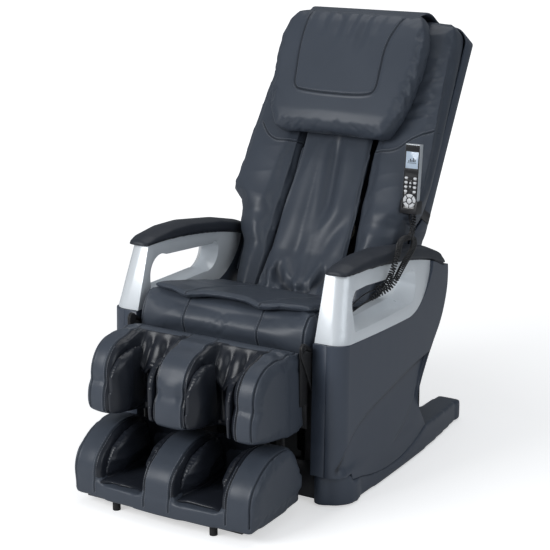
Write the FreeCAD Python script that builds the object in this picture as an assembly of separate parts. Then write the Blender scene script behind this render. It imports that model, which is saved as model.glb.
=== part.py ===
import FreeCAD, Part
import math
import os

# Home massage chair: two arm housings on skids, a seat between them, a reclining back with a
# roller carriage inside, a head pillow, a lifting leg rest with calf and foot channels, and a
# wired handset that stands in a holder on the back.
# Millimetres. Z is up, the chair faces -Y, and +X is the left-hand side of a person sitting in it.
# The origin is on the floor at the centre of the whole outline, cord left out.

V = FreeCAD.Vector
os.makedirs("parts", exist_ok=True)

# Arms and skids
ARM_INNER_X = 290.0          # face of each arm towards the seat
ARM_SPLIT_X = 332.0          # joint between the inner and the outer arm panel
ARM_FRONT_X = 384.0          # outer face near the front
ARM_WIDE_X = 389.0           # outer face at its widest, near the middle
ARM_REAR_X = 366.0           # outer face near the rear
ARM_FRONT_Y = -402.0
ARM_WIDE_Y = -90.0
ARM_REAR_Y = 330.0
ARM_CORNER = 48.0            # rounding of the front outer corner in plan
PANEL_WALL = 4.0
PANEL_LEAN_Y = 15.0          # how far the front leans back over the panel's height
PANEL_FOOT_Z = 95.0
SEAM_GAP = 0.4               # joint line between two shells
PANEL_BASE = 40.0            # height at which the panel's plan is drawn, and its lean from there up
PANEL_REACH = V(-4.0, PANEL_LEAN_Y, 560.0)

GLIDE_HEIGHT = 4.0
GLIDE_RADIUS = 14.0
GLIDE_FRONT_Y = -330.0
GLIDE_REAR_Y = 380.0
SKID_REAR_Y = 458.0
SKID_REAR_Z = 68.0
SKID_REAR_X = 350.0

# Silver trim and the window through each arm
TRIM_FOOT_Z = 440.0
TRIM_HEIGHT = 220.0
TRIM_LEAN_X = 26.0           # inward lean of the outer face over that height
TRIM_LEAN_Y = 72.0           # backward lean of the post over that height
TRIM_FRONT_Y = -391.0
WINDOW_MID_X = 336.0         # ridge where the two dished sides of the window meet

# Arm pads
PAD_INNER_X = 286.0
PAD_OVERHANG = 5.0
PAD_CROWN = 9.0
PAD_GAP = 0.3

# Base frame
TUBE = 25.0
TUBE_WALL = 2.0
RAIL_Z = 60.0
FRAME_FRONT_Y = -370.0
FRAME_REAR_Y = 290.0
RAIL_X = 280.0               # outer face of the side rails
SHEET = 3.0
SEAT_PLATE_Z = 395.0
SEAT_PLATE = 10.0
SEAT_PLATE_FRONT = -388.0
REAR_COVER_TOP = 300.0

# Mains inlet and switch in the rear cover
INLET_X = 190.0
SWITCH_X = 140.0
SOCKET_Z = 150.0
ROCKER_RADIUS = 11.0
ROCKER_HALF = 8.0

# Seat
SEAT_SIDE_GAP = 13.0
SEAT_REAR_Y = 28.0
SEAT_FRONT_Y = -401.0
SEAT_TOP_FRONT_Y = -343.0
SEAT_TOP_FRONT_Z = 538.0
SEAT_SLOPE = 0.22
SEAT_COVER = 10.0
SEAT_COVER_HALF = 262.0

# Back rest, built upright and then leaned: x, n (towards the rear), u (up along the back)
BACK_LEAN = 30.0
BACK_PIVOT_Y = 60.0
BACK_PIVOT_Z = 400.0
BACK_TUBE_X = 238.0
BACK_TUBE = 20.0
BACK_TUBE_DEPTH = 25.0
BACK_FRAME_N = -95.0         # front face of the back frame
BACK_FRAME_LOW = 345.0
BACK_FRAME_TOP = 1310.0
SHELL_HALF = 300.0
SHELL_NARROW = 283.0         # half width where the shell passes between the arms
SHELL_WIDEN = 670.0
SHELL_WALL = 5.0
SHELL_REAR_N = -25.0
SHELL_RIM_N = -118.0
SHELL_LOW = 480.0
SHELL_TOP = 1338.0
SHELL_CORNER = 60.0
SHELL_SIDE_ROUND = 58.0      # rounding of the two rear corners in plan
WING_GAP = 0.4
# Bolster sections, from low to high: u, inner x, outer x, n at the inner and the outer edge, crown
WING = [(440.0, 152.0, 214.0, -190.0, -176.0, 8.0), (462.0, 146.0, 232.0, -200.0, -182.0, 16.0),
        (560.0, 146.0, 246.0, -208.0, -188.0, 22.0), (606.0, 143.0, 268.0, -210.0, -196.0, 22.0),
        (660.0, 139.0, 282.0, -212.0, -204.0, 24.0), (678.0, 138.0, 286.0, -212.0, -206.0, 24.0),
        (712.0, 135.0, 326.0, -213.0, -202.0, 26.0), (740.0, 133.0, 332.0, -213.0, -200.0, 26.0),
        (880.0, 128.0, 327.0, -214.0, -198.0, 19.0), (960.0, 127.0, 320.0, -208.0, -198.0, 16.0),
        (1100.0, 127.0, 308.0, -206.0, -196.0, 12.0), (1240.0, 127.0, 297.0, -206.0, -194.0, 10.0),
        (1310.0, 130.0, 286.0, -198.0, -186.0, 8.0), (1330.0, 138.0, 266.0, -176.0, -168.0, 4.0)]
WING_INNER_BULGE = 2.0
WING_TUCK = 6.0              # how far its rear edge stands inside the shell's side
COVER_THICK = 12.0
COVER_SEAM = 0.4             # how far the sewn edge stands inside the bolster's fullest line
COVER_N = -203.0
COVER_LOW = 433.0
COVER_TOP = 1296.0
PIVOT_PIN = 16.0
PIN_PLAY = 0.05

# Pillow and the flap that hangs over the top of the back
PILLOW_REAR_N = -226.0
PILLOW_FRONT_N = -295.0
PILLOW_HALF = 257.0
PILLOW_LOW = 896.0
PILLOW_TOP = 1306.0
FLAP_HALF = 205.0
FLAP_THICK = 7.0
FLAP_GAP = 0.3
FLAP_TAIL_DROP = 60.0        # how far its tail hangs below the top of the shell's rear edge
REAR_END_Y = 730.0

# Massage carriage
CARRIAGE_LOW = 520.0
CARRIAGE_LENGTH = 150.0
CARRIAGE_HALF = 226.0
CARRIAGE_PLATE = 8.0
SCREW_DIAMETER = 16.0
SCREW_N = -52.0
HEAD_N = -108.0
HEAD_SHAFT = 16.0
ARM_SPREAD = 65.0
ARM_THICK = 8.0
ROLLER_REACH = 52.0          # roller axles above and below the head shaft
ROLLER_FORWARD = 30.0
ROLLER_RADIUS = 27.0
ROLLER_WIDTH = 24.0
ROLLER_AXLE = 8.0

# Leg rest
LEG_PIVOT_Y = -425.0
LEG_PIVOT_Z = 462.0
LEG_PIN = 12.0
LEG_BRACKET = 5.0
LEG_EAR = 3.2
LEG_PLAY = 0.7               # side play of the leg rest between its brackets
LEG_SIDE_GAP = 1.1           # between its padded sides and the pivot ears
LEG_HALF = RAIL_X - LEG_PLAY - LEG_EAR - LEG_SIDE_GAP
LEG_PLATE_Y = -399.0
LEG_PLATE_LOW = 228.0
LEG_PLATE_TOP = 390.0
CALF_MID_HALF = 55.0
CALF_WALL_X = 192.0
FOOT_MID_HALF = 52.0
FOOT_WALL_X = 192.0
FOOT_HALF = 296.0
FOOT_FRONT_Y = -730.0
FOOT_BOW = 24.0              # how far the front lip bows forward in its middle
FOOT_BOTTOM = 24.0
FOOT_PLATE = 4.0
FOOT_GLIDE_X = 158.0
FOOT_GLIDE_Y = -684.0
LINING = 12.0
GUIDE_X = 225.0
GUIDE_Y = -440.0
GUIDE_ROD = 16.0
GUIDE_TUBE = 22.0

# Handset and its holder
HANDSET_X = 303.0
HANDSET_Y = 154.0
HANDSET_Z = 722.0
HANDSET_LEAN = 5.6
HANDSET_WIDTH = 48.0
HANDSET_HEIGHT = 200.0
HANDSET_THICK = 26.0
HANDSET_ROUND = 9.0
KEY_TRAVEL = 1.0
KEY_PROUD = 1.4
KEY_DEPTH = 4.0
KEY_GAP = 0.3
OVAL_WIDTH = 10.0
OVAL_HEIGHT = 6.0
OVAL_X = 14.0
OVAL_ROWS = [62.0, 75.0, 88.0, 101.0]
ARROW_HALF = 5.0
ARROW_REACH = 14.0
ARROW_Z = (OVAL_ROWS[0] + OVAL_ROWS[-1]) / 2
RING_Z = 34.0
RING_OUTER = 20.0
RING_INNER = 11.0
CENTRE_KEY = 7.5
CUP_WALL = 3.0
CUP_HEIGHT = 34.0
CUP_PLAY = 0.6
STEM_GAP = 0.3
STEM_THICK = 4.0
STEM_WIDTH = 30.0
STEM_SLIT = 0.5

# Handset cords: a curly one all the way and a second one with long straight tails
CORD_OUTER = 18.0
CORD_WIRE = 4.2
CURL_RAMP = 12.0             # length over which a curl opens from the middle line
GLAND_X = 338.0
GLAND_Y = -312.0
GLAND_REACH = 4.0
MAIN_GLAND_Z = 545.0
TAIL_GLAND_Z = 529.0
MAIN_EXIT_X = 11.0           # where each cord leaves the foot of the handset
TAIL_EXIT_X = -4.0
MAIN_CURLS = 60
TAIL_CURLS = 39
MAIN_END = 165.0             # straight length hidden in the arm, after the curls
TAIL_START = 130.0           # straight tails before and after the curls of the second cord
TAIL_END = 120.0
CURL_STEPS = 6               # points on each quarter of a curl

# Actuators
ACT_X = 90.0
ACT_BODY = 44.0
ACT_ROD = 18.0
ACT_PIN = 10.0
RECLINE_BASE = (-290.0, 200.0)
RECLINE_LUG = (40.0, 260.0)
LEG_BASE = (60.0, 180.0)
LEG_LUG = (-378.0, 372.0)
RECLINE_BODY = 215.0         # length of each body, and where its rod starts inside it
RECLINE_ROD_START = 140.0
LEG_BODY = 262.0
LEG_ROD_START = 62.0


def side(x):
    """A plane across the chair: outline values are y and z."""
    return lambda y, z: V(x, y, z)


def level(z):
    """A plane along the floor: outline values are x and y."""
    return lambda x, y: V(x, y, z)


def upright(y):
    """A plane facing the front: outline values are x and z."""
    return lambda x, z: V(x, y, z)


def outline(place, start, legs):
    """Closed wire. A leg of two values is a line's end, one of four an arc's middle and end."""
    edges = []
    here = start
    for leg in list(legs) + [start]:
        end = leg[-2:]
        if math.dist(here, end) < 1e-6:
            continue
        if len(leg) == 4:
            edges.append(Part.Arc(place(*here), place(*leg[:2]), place(*end)).toShape())
        else:
            edges.append(Part.LineSegment(place(*here), place(*end)).toShape())
        here = end
    return Part.Wire(edges)


def prism(place, start, legs, reach):
    """Solid swept straight from a closed outline."""
    return Part.Face(outline(place, start, legs)).extrude(reach)


def bulged(place, corners, bulges):
    """Closed wire of arcs round corners that run anticlockwise; a bulge of 0 is a line."""
    legs = []
    for i, here in enumerate(corners):
        end = corners[(i + 1) % len(corners)]
        length = math.dist(here, end)
        out = ((end[1] - here[1]) / length, (here[0] - end[0]) / length)
        if bulges[i]:
            middle = ((here[0] + end[0]) / 2 + out[0] * bulges[i],
                      (here[1] + end[1]) / 2 + out[1] * bulges[i])
            legs.append(middle + end)
        else:
            legs.append(end)
    return outline(place, corners[0], legs)


def loft(wires):
    """Closed solid ruled from each section wire to the next, with its faces outwards."""
    solid = Part.makeLoft(wires, True, True)
    if solid.Volume < 0:
        solid.reverse()
    return solid


def box(x, y, z):
    """Box from three (low, high) pairs."""
    return Part.makeBox(x[1] - x[0], y[1] - y[0], z[1] - z[0], V(x[0], y[0], z[0]))


def rod(start, end, radius):
    """Round bar between two points."""
    axis = V(*end) - V(*start)
    return Part.makeCylinder(radius, axis.Length, V(*start), axis)


def tube_bar(x, y, z, along):
    """Rectangular steel tube, open at both ends along one axis."""
    sizes = [list(x), list(y), list(z)]
    for i, pair in enumerate(sizes):
        if i != along:
            pair[0] += TUBE_WALL
            pair[1] -= TUBE_WALL
    return box(x, y, z).cut(box(*sizes))


def mirrored(shape):
    """The same piece on the other side of the centre plane."""
    return shape.mirror(V(0, 0, 0), V(1, 0, 0))


def lean_back(shape):
    """Turn a piece built upright to the back rest's lean."""
    turned = shape.copy()
    turned.rotate(V(0, 0, 0), V(1, 0, 0), -BACK_LEAN)
    return turned


def back_place(y, z):
    """Values n and u, along the leaned back, of a point given by y and z."""
    turn = math.radians(BACK_LEAN)
    n = y * math.cos(turn) - z * math.sin(turn)
    u = y * math.sin(turn) + z * math.cos(turn)
    return n, u


def chair_place(n, u):
    """Values y and z of a point given along the leaned back."""
    turn = math.radians(BACK_LEAN)
    return n * math.cos(turn) + u * math.sin(turn), u * math.cos(turn) - n * math.sin(turn)


def write(name, *shapes):
    """Save one node; several solids become a group of separate solids."""
    solids = [solid for shape in shapes for solid in shape.Solids]
    result = solids[0] if len(solids) == 1 else Part.makeCompound(solids)
    result.exportStep("parts/" + name + ".step")


def write_pair(name, shape):
    """Save a piece of the left side and its mirror image."""
    write(name + "_left", shape)
    write(name + "_right", mirrored(shape))


# Outline of one arm in plan, used by the skid, the panels and the trim

def arm_plan(z, front_y, inset=0.0):
    """Outer face of an arm seen from above, with its rounded front corner."""
    inner = ARM_INNER_X - 40.0
    front = front_y + inset
    face = ARM_FRONT_X - inset
    cut = ARM_CORNER * (1 - math.sqrt(0.5))
    return level(z), (inner, front), [
        (face - ARM_CORNER, front),
        (face - cut, front + cut * 0.9, face, front + ARM_CORNER),
        (ARM_WIDE_X - inset, ARM_WIDE_Y, ARM_REAR_X - inset, ARM_REAR_Y),
        (inner, ARM_REAR_Y)]


# Side outlines of one arm: values are y and z

TRIM_LOW = [(0.0, 454.0), (103.0, 483.0, 173.5, 557.0), (179.0, 580.0)]
ARM_TOP = [(180.0, 580.0), (-44.0, 627.0, -345.0, 647.0)]
PANEL_REAR = [(306.0, 541.0), (309.0, 505.0, 300.0, 456.0), (270.0, 400.0, 226.0, 354.0),
              (150.0, 285.0, 92.0, 215.0), (84.0, 175.0, 97.0, 145.0), (141.0, 83.0)]
SKID_SEAM = [(45.0, 56.0, -278.0, 69.0), (-330.0, 76.0)]


def panel_outline(x, gap):
    """Side of an arm below the silver trim."""
    front_low = ARM_FRONT_Y - 8.0
    front_high = ARM_FRONT_Y - 8.0 + PANEL_LEAN_Y
    return side(x), (front_low, PANEL_FOOT_Z), [
        (front_high - 6.0, 470.0 - gap),
        (TRIM_LOW[0][0], TRIM_LOW[0][1] - gap),
        (TRIM_LOW[1][0] + gap, TRIM_LOW[1][1] - gap, TRIM_LOW[1][2] + gap, TRIM_LOW[1][3]),
        (TRIM_LOW[2][0] + gap, TRIM_LOW[2][1]),
        (263.0, 547.0),
        *PANEL_REAR,
        *SKID_SEAM,
        (-334.0, PANEL_FOOT_Z)]


def skid():
    """Skid under one arm, with the raised step at its front."""
    wide = prism(level(GLIDE_HEIGHT), (ARM_INNER_X, ARM_FRONT_Y + 20.0), [
        (ARM_INNER_X + 25.0, ARM_FRONT_Y + 12.0, ARM_INNER_X + 45.0, ARM_FRONT_Y + 22.0),
        (ARM_FRONT_X - 8.0, ARM_FRONT_Y + 50.0, ARM_FRONT_X - 3.0, ARM_FRONT_Y + 130.0),
        (ARM_WIDE_X, ARM_WIDE_Y + 60.0, SKID_REAR_X + 14.0, SKID_REAR_Y - 60.0),
        (SKID_REAR_X + 6.0, SKID_REAR_Y - 12.0, SKID_REAR_X - 12.0, SKID_REAR_Y),
        (ARM_INNER_X + 14.0, SKID_REAR_Y - 4.0),
        (ARM_INNER_X, SKID_REAR_Y - 24.0)], V(0, 0, 140.0))
    tall = prism(side(ARM_INNER_X - 10.0), (ARM_FRONT_Y - 20.0, 0.0), [
        (ARM_FRONT_Y - 20.0, PANEL_FOOT_Z - SEAM_GAP),
        (-334.0 - SEAM_GAP, PANEL_FOOT_Z - SEAM_GAP),
        (-330.0 - SEAM_GAP, 76.0 - SEAM_GAP),
        (-278.0, 69.0 - SEAM_GAP),
        (45.0, 56.0 - SEAM_GAP, 141.0, 83.0 - SEAM_GAP),
        (SKID_REAR_Y - 30.0, SKID_REAR_Z),
        (SKID_REAR_Y + 5.0, SKID_REAR_Z - 22.0),
        (SKID_REAR_Y + 5.0, 0.0)], V(140.0, 0, 0))
    return wide.common(tall)


def outer_panel():
    """Outer arm panel: a hollow shell, open towards the inner panel."""
    solid = prism(*panel_outline(ARM_SPLIT_X, SEAM_GAP), V(80.0, 0, 0))
    full = prism(*arm_plan(PANEL_BASE, ARM_FRONT_Y), PANEL_REACH)
    core = prism(*arm_plan(PANEL_BASE, ARM_FRONT_Y, PANEL_WALL), PANEL_REACH)
    ring = outline(*panel_outline(ARM_SPLIT_X - 1.0, SEAM_GAP)).makeOffset2D(-3.0 * PANEL_WALL)
    pocket = Part.Face(ring).extrude(V(80.0, 0, 0)).common(core)
    return solid.common(full).cut(pocket)


def inner_panel():
    """Inner arm panel: a shallow tray that closes the arm towards the seat."""
    solid = prism(*panel_outline(ARM_INNER_X, SEAM_GAP), V(ARM_SPLIT_X - ARM_INNER_X - SEAM_GAP, 0, 0))
    full = prism(*arm_plan(PANEL_BASE, ARM_FRONT_Y), PANEL_REACH)
    ring = outline(*panel_outline(ARM_INNER_X + PANEL_WALL, SEAM_GAP)).makeOffset2D(-3.0 * PANEL_WALL)
    return solid.common(full).cut(Part.Face(ring).extrude(V(80.0, 0, 0)))


def window_wire(x, grow_low, grow_rear):
    """Edge of the arm window at one depth: wider outside and inside than at the ridge."""
    front = -316.0
    low = 518.0 - grow_low
    rear = 24.0 + grow_rear
    return outline(side(x), (front + 12.0, low - 2.0), [
        (rear - 75.0, low - 3.0),
        (rear - 22.0, low + 10.0, rear, low + 52.0),
        (rear + 2.0, low + 62.0, rear - 30.0, 582.0),
        (-232.0, 604.0),
        (-295.0, 599.0, front, 553.0),
        (front, low + 9.0),
        (front + 2.5, low + 0.5, front + 12.0, low - 2.0)])


def trim():
    """Silver post and window frame of one arm, in one moulding."""
    solid = prism(side(ARM_INNER_X), (TRIM_FRONT_Y - 6.0, 470.0), [
        *TRIM_LOW, *ARM_TOP, (-360.0, 647.0)], V(120.0, 0, 0))
    plan = prism(*arm_plan(TRIM_FOOT_Z, TRIM_FRONT_Y), V(-TRIM_LEAN_X, TRIM_LEAN_Y, TRIM_HEIGHT))
    window = loft([window_wire(ARM_WIDE_X + 6.0, 30.0, 62.0), window_wire(WINDOW_MID_X, 0.0, 0.0),
                   window_wire(ARM_INNER_X - 1.0, 12.0, 22.0)])
    return solid.cut(window).common(plan)


def arm_pad():
    """Padded top of one arm, crowned, with a rounded nose and a thin tail."""
    stations = [(-333.0, 646.0, 654.0, 18.0), (-325.0, 642.0, 663.0, 6.0), (-290.0, 636.0, 672.0, 0.0),
                (-190.0, 630.0, 679.0, -2.0), (-90.0, 620.0, 674.0, -3.0), (75.0, 596.0, 648.0, 0.0),
                (190.0, 568.0, 619.0, 2.0), (265.0, 536.0, 590.0, 3.0), (303.0, 530.0, 562.0, 5.0),
                (314.0, 536.0, 548.0, 12.0)]
    wires = []
    for y, low, high, draw in stations:
        lean = (low - TRIM_FOOT_Z) * TRIM_LEAN_X / TRIM_HEIGHT
        bow = (ARM_WIDE_X - ARM_REAR_X) * ((y - ARM_WIDE_Y) / (ARM_REAR_Y - ARM_WIDE_Y)) ** 2
        outer = ARM_WIDE_X - bow - lean - draw + PAD_OVERHANG
        inner = PAD_INNER_X + draw * 0.6
        crown = min(PAD_CROWN, (high - low) * 0.4)
        shoulder = high - crown
        wires.append(bulged(upright(y), [(inner, low), (outer, low), (outer - 3.0, shoulder),
                                         (inner + 3.0, shoulder)], [0, 3.0, crown, 3.0]))
    under = prism(side(ARM_INNER_X - 30.0), (320.0, 400.0), [
        (320.0, 541.0 + PAD_GAP), (263.0, 547.0 + PAD_GAP),
        (180.0, 580.0 + PAD_GAP), (-44.0, 627.0 + PAD_GAP, -345.0, 647.0 + PAD_GAP),
        (-345.0, 400.0)], V(150.0, 0, 0))
    return loft(wires).cut(under)


# Base

def base_frame():
    """Welded tube frame between the arms, with the seat plate and the leg rest brackets."""
    low = (RAIL_Z, RAIL_Z + TUBE)
    post = (RAIL_Z + TUBE, SEAT_PLATE_Z)
    pieces = []
    for y in (FRAME_FRONT_Y, RECLINE_BASE[0] - TUBE / 2, LEG_BASE[0] - TUBE / 2, FRAME_REAR_Y - TUBE):
        ends = ARM_INNER_X if y in (FRAME_FRONT_Y, FRAME_REAR_Y - TUBE) else RAIL_X - TUBE
        pieces.append(tube_bar((-ends, ends), (y, y + TUBE), low, 0))
    for s in (-1, 1):
        rail_x = sorted((s * (RAIL_X - TUBE), s * RAIL_X))
        pieces.append(tube_bar(rail_x, (FRAME_FRONT_Y + TUBE, FRAME_REAR_Y - TUBE), low, 1))
        pieces.append(tube_bar(rail_x, (FRAME_FRONT_Y, FRAME_FRONT_Y + TUBE), post, 2))
        top = BACK_PIVOT_Z + PIVOT_PIN
        post_y = (BACK_PIVOT_Y - TUBE / 2, BACK_PIVOT_Y + TUBE / 2)
        upright_post = tube_bar(rail_x, post_y, (RAIL_Z + TUBE, top), 2)
        bore = rod((rail_x[0] - 1, BACK_PIVOT_Y, BACK_PIVOT_Z),
                   (rail_x[1] + 1, BACK_PIVOT_Y, BACK_PIVOT_Z), PIVOT_PIN / 2 + PIN_PLAY)
        pieces.append(upright_post.cut(bore))
        pieces.append(leg_bracket(s))
    pieces.append(box((-RAIL_X, RAIL_X), (SEAT_PLATE_FRONT, SEAT_REAR_Y),
                      (SEAT_PLATE_Z, SEAT_PLATE_Z + SEAT_PLATE)))
    pieces += actuator_clevis(RECLINE_BASE, ACT_X)
    pieces += actuator_clevis(LEG_BASE, -ACT_X)
    return pieces


def leg_bracket(s):
    """Plate on one front post that carries the leg rest's pivot."""
    x0 = s * RAIL_X
    radius = 15.0
    plate = prism(side(x0), (FRAME_FRONT_Y + TUBE, 330.0), [
        (FRAME_FRONT_Y + TUBE, SEAT_PLATE_Z + SEAT_PLATE + 20.0),
        (LEG_PIVOT_Y + radius * 0.7, LEG_PIVOT_Z + radius * 0.7),
        (LEG_PIVOT_Y - radius * 0.1, LEG_PIVOT_Z + radius, LEG_PIVOT_Y - radius, LEG_PIVOT_Z),
        (LEG_PIVOT_Y - radius, LEG_PIVOT_Z - 20.0),
        (FRAME_FRONT_Y - 10.0, 330.0)], V(s * LEG_BRACKET, 0, 0))
    bore = rod((x0 - 10, LEG_PIVOT_Y, LEG_PIVOT_Z), (x0 + 10, LEG_PIVOT_Y, LEG_PIVOT_Z),
               LEG_PIN / 2 + PIN_PLAY)
    return plate.cut(bore)


def actuator_clevis(base, x):
    """Two ears on a cross tube that hold the tail pin of an actuator."""
    ears = []
    for s in (-1, 1):
        x0 = x + s * 14.0
        ear = prism(side(x0), (base[0] - 12.0, RAIL_Z + TUBE), [
            (base[0] - 12.0, base[1]),
            (base[0], base[1] + 12.0, base[0] + 12.0, base[1]),
            (base[0] + 12.0, RAIL_Z + TUBE)], V(s * 5.0, 0, 0))
        bore = rod((x0 - 10, base[0], base[1]), (x0 + 10, base[0], base[1]), ACT_PIN / 2 + PIN_PLAY)
        ears.append(ear.cut(bore))
    return ears


def actuator(base, lug, x, body_end, rod_start):
    """Motor body that swings on its tail pin, and the rod that slides out of it."""
    length = math.dist(base, lug)
    turn = math.degrees(math.atan2(lug[1] - base[1], lug[0] - base[0]))
    body = rod((0, 22.0, 0), (0, body_end, 0), ACT_BODY / 2)
    gearbox = box((-13.0, 13.0), (-12.0, 24.0), (-14.0, 14.0))
    motor = rod((0, 70.0, -40.0), (0, 180.0, -40.0), 18.0)
    neck = box((-9.0, 9.0), (80.0, 170.0), (-40.0, -10.0))
    pin = rod((-19.5, 0, 0), (19.5, 0, 0), ACT_PIN / 2)
    bore = rod((0, 60.0, 0), (0, body_end + 1.0, 0), ACT_ROD / 2 + 0.1)
    housing = body.fuse([gearbox, motor, neck, pin]).cut(bore)
    shaft = rod((0, rod_start, 0), (0, length - 12.0, 0), ACT_ROD / 2)
    eye = rod((-8.0, length, 0), (8.0, length, 0), 13.0)
    hole = rod((-9.0, length, 0), (9.0, length, 0), ACT_PIN / 2 + PIN_PLAY)
    plunger = shaft.fuse(eye).cut(hole)
    placed = []
    for shape in (housing, plunger):
        shape.rotate(V(0, 0, 0), V(1, 0, 0), turn)
        shape.translate(V(x, base[0], base[1]))
        placed.append(shape)
    return placed


def floor_glides():
    """Four rubber pads under the skids."""
    pads = []
    for x in (-ARM_INNER_X - 35.0, ARM_INNER_X + 35.0):
        for y in (GLIDE_FRONT_Y, GLIDE_REAR_Y):
            pads.append(rod((x, y, 0), (x, y, GLIDE_HEIGHT), GLIDE_RADIUS))
    return pads


def bottom_tray():
    """Sheet under the base with a skirt across the front."""
    width = (-ARM_INNER_X + 1.0, ARM_INNER_X - 1.0)
    floor = box(width, (FRAME_FRONT_Y, FRAME_REAR_Y), (RAIL_Z - SHEET, RAIL_Z))
    skirt = box(width, (FRAME_FRONT_Y - SHEET, FRAME_FRONT_Y), (14.0, RAIL_Z + 60.0))
    return floor.fuse(skirt)


def rear_cover():
    """Sheet that closes the base at the rear, with holes for the inlet and the switch."""
    y = (FRAME_REAR_Y, FRAME_REAR_Y + SHEET)
    sheet = box((-ARM_INNER_X + 1.0, ARM_INNER_X - 1.0), y, (RAIL_Z, REAR_COVER_TOP))
    through = (y[0] - 1, y[1] + 1)
    inlet = box((INLET_X - 14.0, INLET_X + 14.0), through, (SOCKET_Z - 10.5, SOCKET_Z + 10.5))
    switch = box((SWITCH_X - 11.0, SWITCH_X + 11.0), through, (SOCKET_Z - 14.0, SOCKET_Z + 14.0))
    return sheet.cut(inlet).cut(switch)


def power_inlet():
    """Mains inlet with three contacts, and the bezel of the switch beside it."""
    face = FRAME_REAR_Y + SHEET
    flange = box((INLET_X - 18.0, INLET_X + 18.0), (face, face + SHEET), (SOCKET_Z - 14.0, SOCKET_Z + 14.0))
    shell = box((INLET_X - 13.7, INLET_X + 13.7), (face - 22.0, face), (SOCKET_Z - 10.2, SOCKET_Z + 10.2))
    cup = box((INLET_X - 11.5, INLET_X + 11.5), (face - 17.0, face + 4.0), (SOCKET_Z - 8.0, SOCKET_Z + 8.0))
    inlet = flange.fuse(shell).cut(cup)
    for dx, dz in ((-6.5, -1.5), (0.0, 2.5), (6.5, -1.5)):
        blade = box((INLET_X + dx - 1.0, INLET_X + dx + 1.0), (face - 18.0, face - 2.0),
                    (SOCKET_Z + dz - 2.5, SOCKET_Z + dz + 2.5))
        inlet = inlet.fuse(blade)
    rim = box((SWITCH_X - 13.0, SWITCH_X + 13.0), (face, face + 3.0), (SOCKET_Z - 16.0, SOCKET_Z + 16.0))
    case = box((SWITCH_X - 10.7, SWITCH_X + 10.7), (face - 20.0, face), (SOCKET_Z - 13.7, SOCKET_Z + 13.7))
    room = rod((SWITCH_X - ROCKER_HALF - 0.4, face, SOCKET_Z),
               (SWITCH_X + ROCKER_HALF + 0.4, face, SOCKET_Z), ROCKER_RADIUS + 0.4)
    return [inlet, rim.fuse(case).cut(room)]


def power_switch():
    """Rocker of the mains switch, round about its own pivot, with a hollowed face."""
    face = FRAME_REAR_Y + SHEET
    drum = rod((SWITCH_X - ROCKER_HALF, face, SOCKET_Z), (SWITCH_X + ROCKER_HALF, face, SOCKET_Z),
               ROCKER_RADIUS)
    hollow = rod((SWITCH_X - 20.0, face + 30.0, SOCKET_Z), (SWITCH_X + 20.0, face + 30.0, SOCKET_Z), 25.0)
    return drum.cut(hollow)


def air_pump():
    """Air pump that fills the cells of the leg rest, in its case on four feet."""
    case = box((140.0, 240.0), (-220.0, -60.0), (72.0, 160.0))
    case = case.makeFillet(12.0, case.Edges)
    feet = [rod((x, y, RAIL_Z), (x, y, 74.0), 8.0) for x in (158.0, 222.0) for y in (-202.0, -78.0)]
    nozzles = [rod((x, -230.0, 130.0), (x, -218.0, 130.0), 5.0) for x in (165.0, 190.0, 215.0)]
    return case.fuse(feet + nozzles)


def control_box():
    """Power supply and control board case."""
    case = box((-240.0, -130.0), (-220.0, -20.0), (RAIL_Z, 128.0))
    case = case.makeFillet(6.0, [e for e in case.Edges if e.BoundBox.ZMin > RAIL_Z + 1.0])
    lid = box((-243.0, -127.0), (-223.0, -17.0), (110.0, 114.0))
    return case.fuse(lid)


# Seat

def seat_top(y):
    """Height of the seat pad's top at one place from front to rear."""
    return SEAT_TOP_FRONT_Z - SEAT_SLOPE * (y - SEAT_TOP_FRONT_Y)


def seat_cushion():
    """Seat pad: a front roll, a top that falls towards the back, and a slight dish across."""
    half = ARM_INNER_X - SEAT_SIDE_GAP
    base = SEAT_PLATE_Z + SEAT_PLATE + 0.3
    wires = []
    for x, draw, dish in ((-half, 14.0, 0.0), (-half + 4.0, 6.0, 0.0), (-half + 14.0, 0.0, 0.0),
                          (-half / 2, 0.0, 4.0), (0.0, 0.0, 6.0), (half / 2, 0.0, 4.0),
                          (half - 14.0, 0.0, 0.0), (half - 4.0, 6.0, 0.0), (half, 14.0, 0.0)):
        rear_top = seat_top(SEAT_REAR_Y) - draw - dish
        front_top = seat_top(SEAT_TOP_FRONT_Y) - draw - dish * 0.5
        wires.append(outline(side(x), (SEAT_FRONT_Y + 8.0 + draw, base + draw * 0.4), [
            (SEAT_FRONT_Y - 1.0 + draw, 466.0, SEAT_FRONT_Y + 20.0 + draw, front_top - 16.0),
            (SEAT_FRONT_Y + 30.0 + draw, front_top - 4.0, SEAT_TOP_FRONT_Y + draw, front_top),
            (-160.0, (rear_top + front_top) / 2 - dish * 0.6, SEAT_REAR_Y - draw * 0.4, rear_top),
            (SEAT_REAR_Y - draw * 0.4, base + draw * 0.4)]))
    return loft(wires)


def seat_cover():
    """Loose leather pad on the seat, drawn in at the seams of its front edge."""
    wires = []
    gap = 0.5
    for x, front, lift in ((-SEAT_COVER_HALF, -345.0, 6.0), (-205.0, -372.0, 2.0), (-116.0, -384.0, 0.0),
                           (-60.0, -374.0, 2.0), (0.0, -368.0, 3.0), (60.0, -374.0, 2.0),
                           (116.0, -384.0, 0.0), (205.0, -372.0, 2.0), (SEAT_COVER_HALF, -345.0, 6.0)):
        start = seat_top(front) + gap + 1.0
        end_y = SEAT_REAR_Y - 6.0
        wires.append(outline(side(x), (front, start), [
            (end_y, seat_top(end_y) + gap),
            (end_y, seat_top(end_y) + gap + SEAT_COVER),
            (-160.0, seat_top(-160.0) + gap + SEAT_COVER + lift, front + 6.0, start + SEAT_COVER),
            (front - 2.0, start + SEAT_COVER / 2, front, start)]))
    return loft(wires)


# Back rest, built upright

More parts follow.
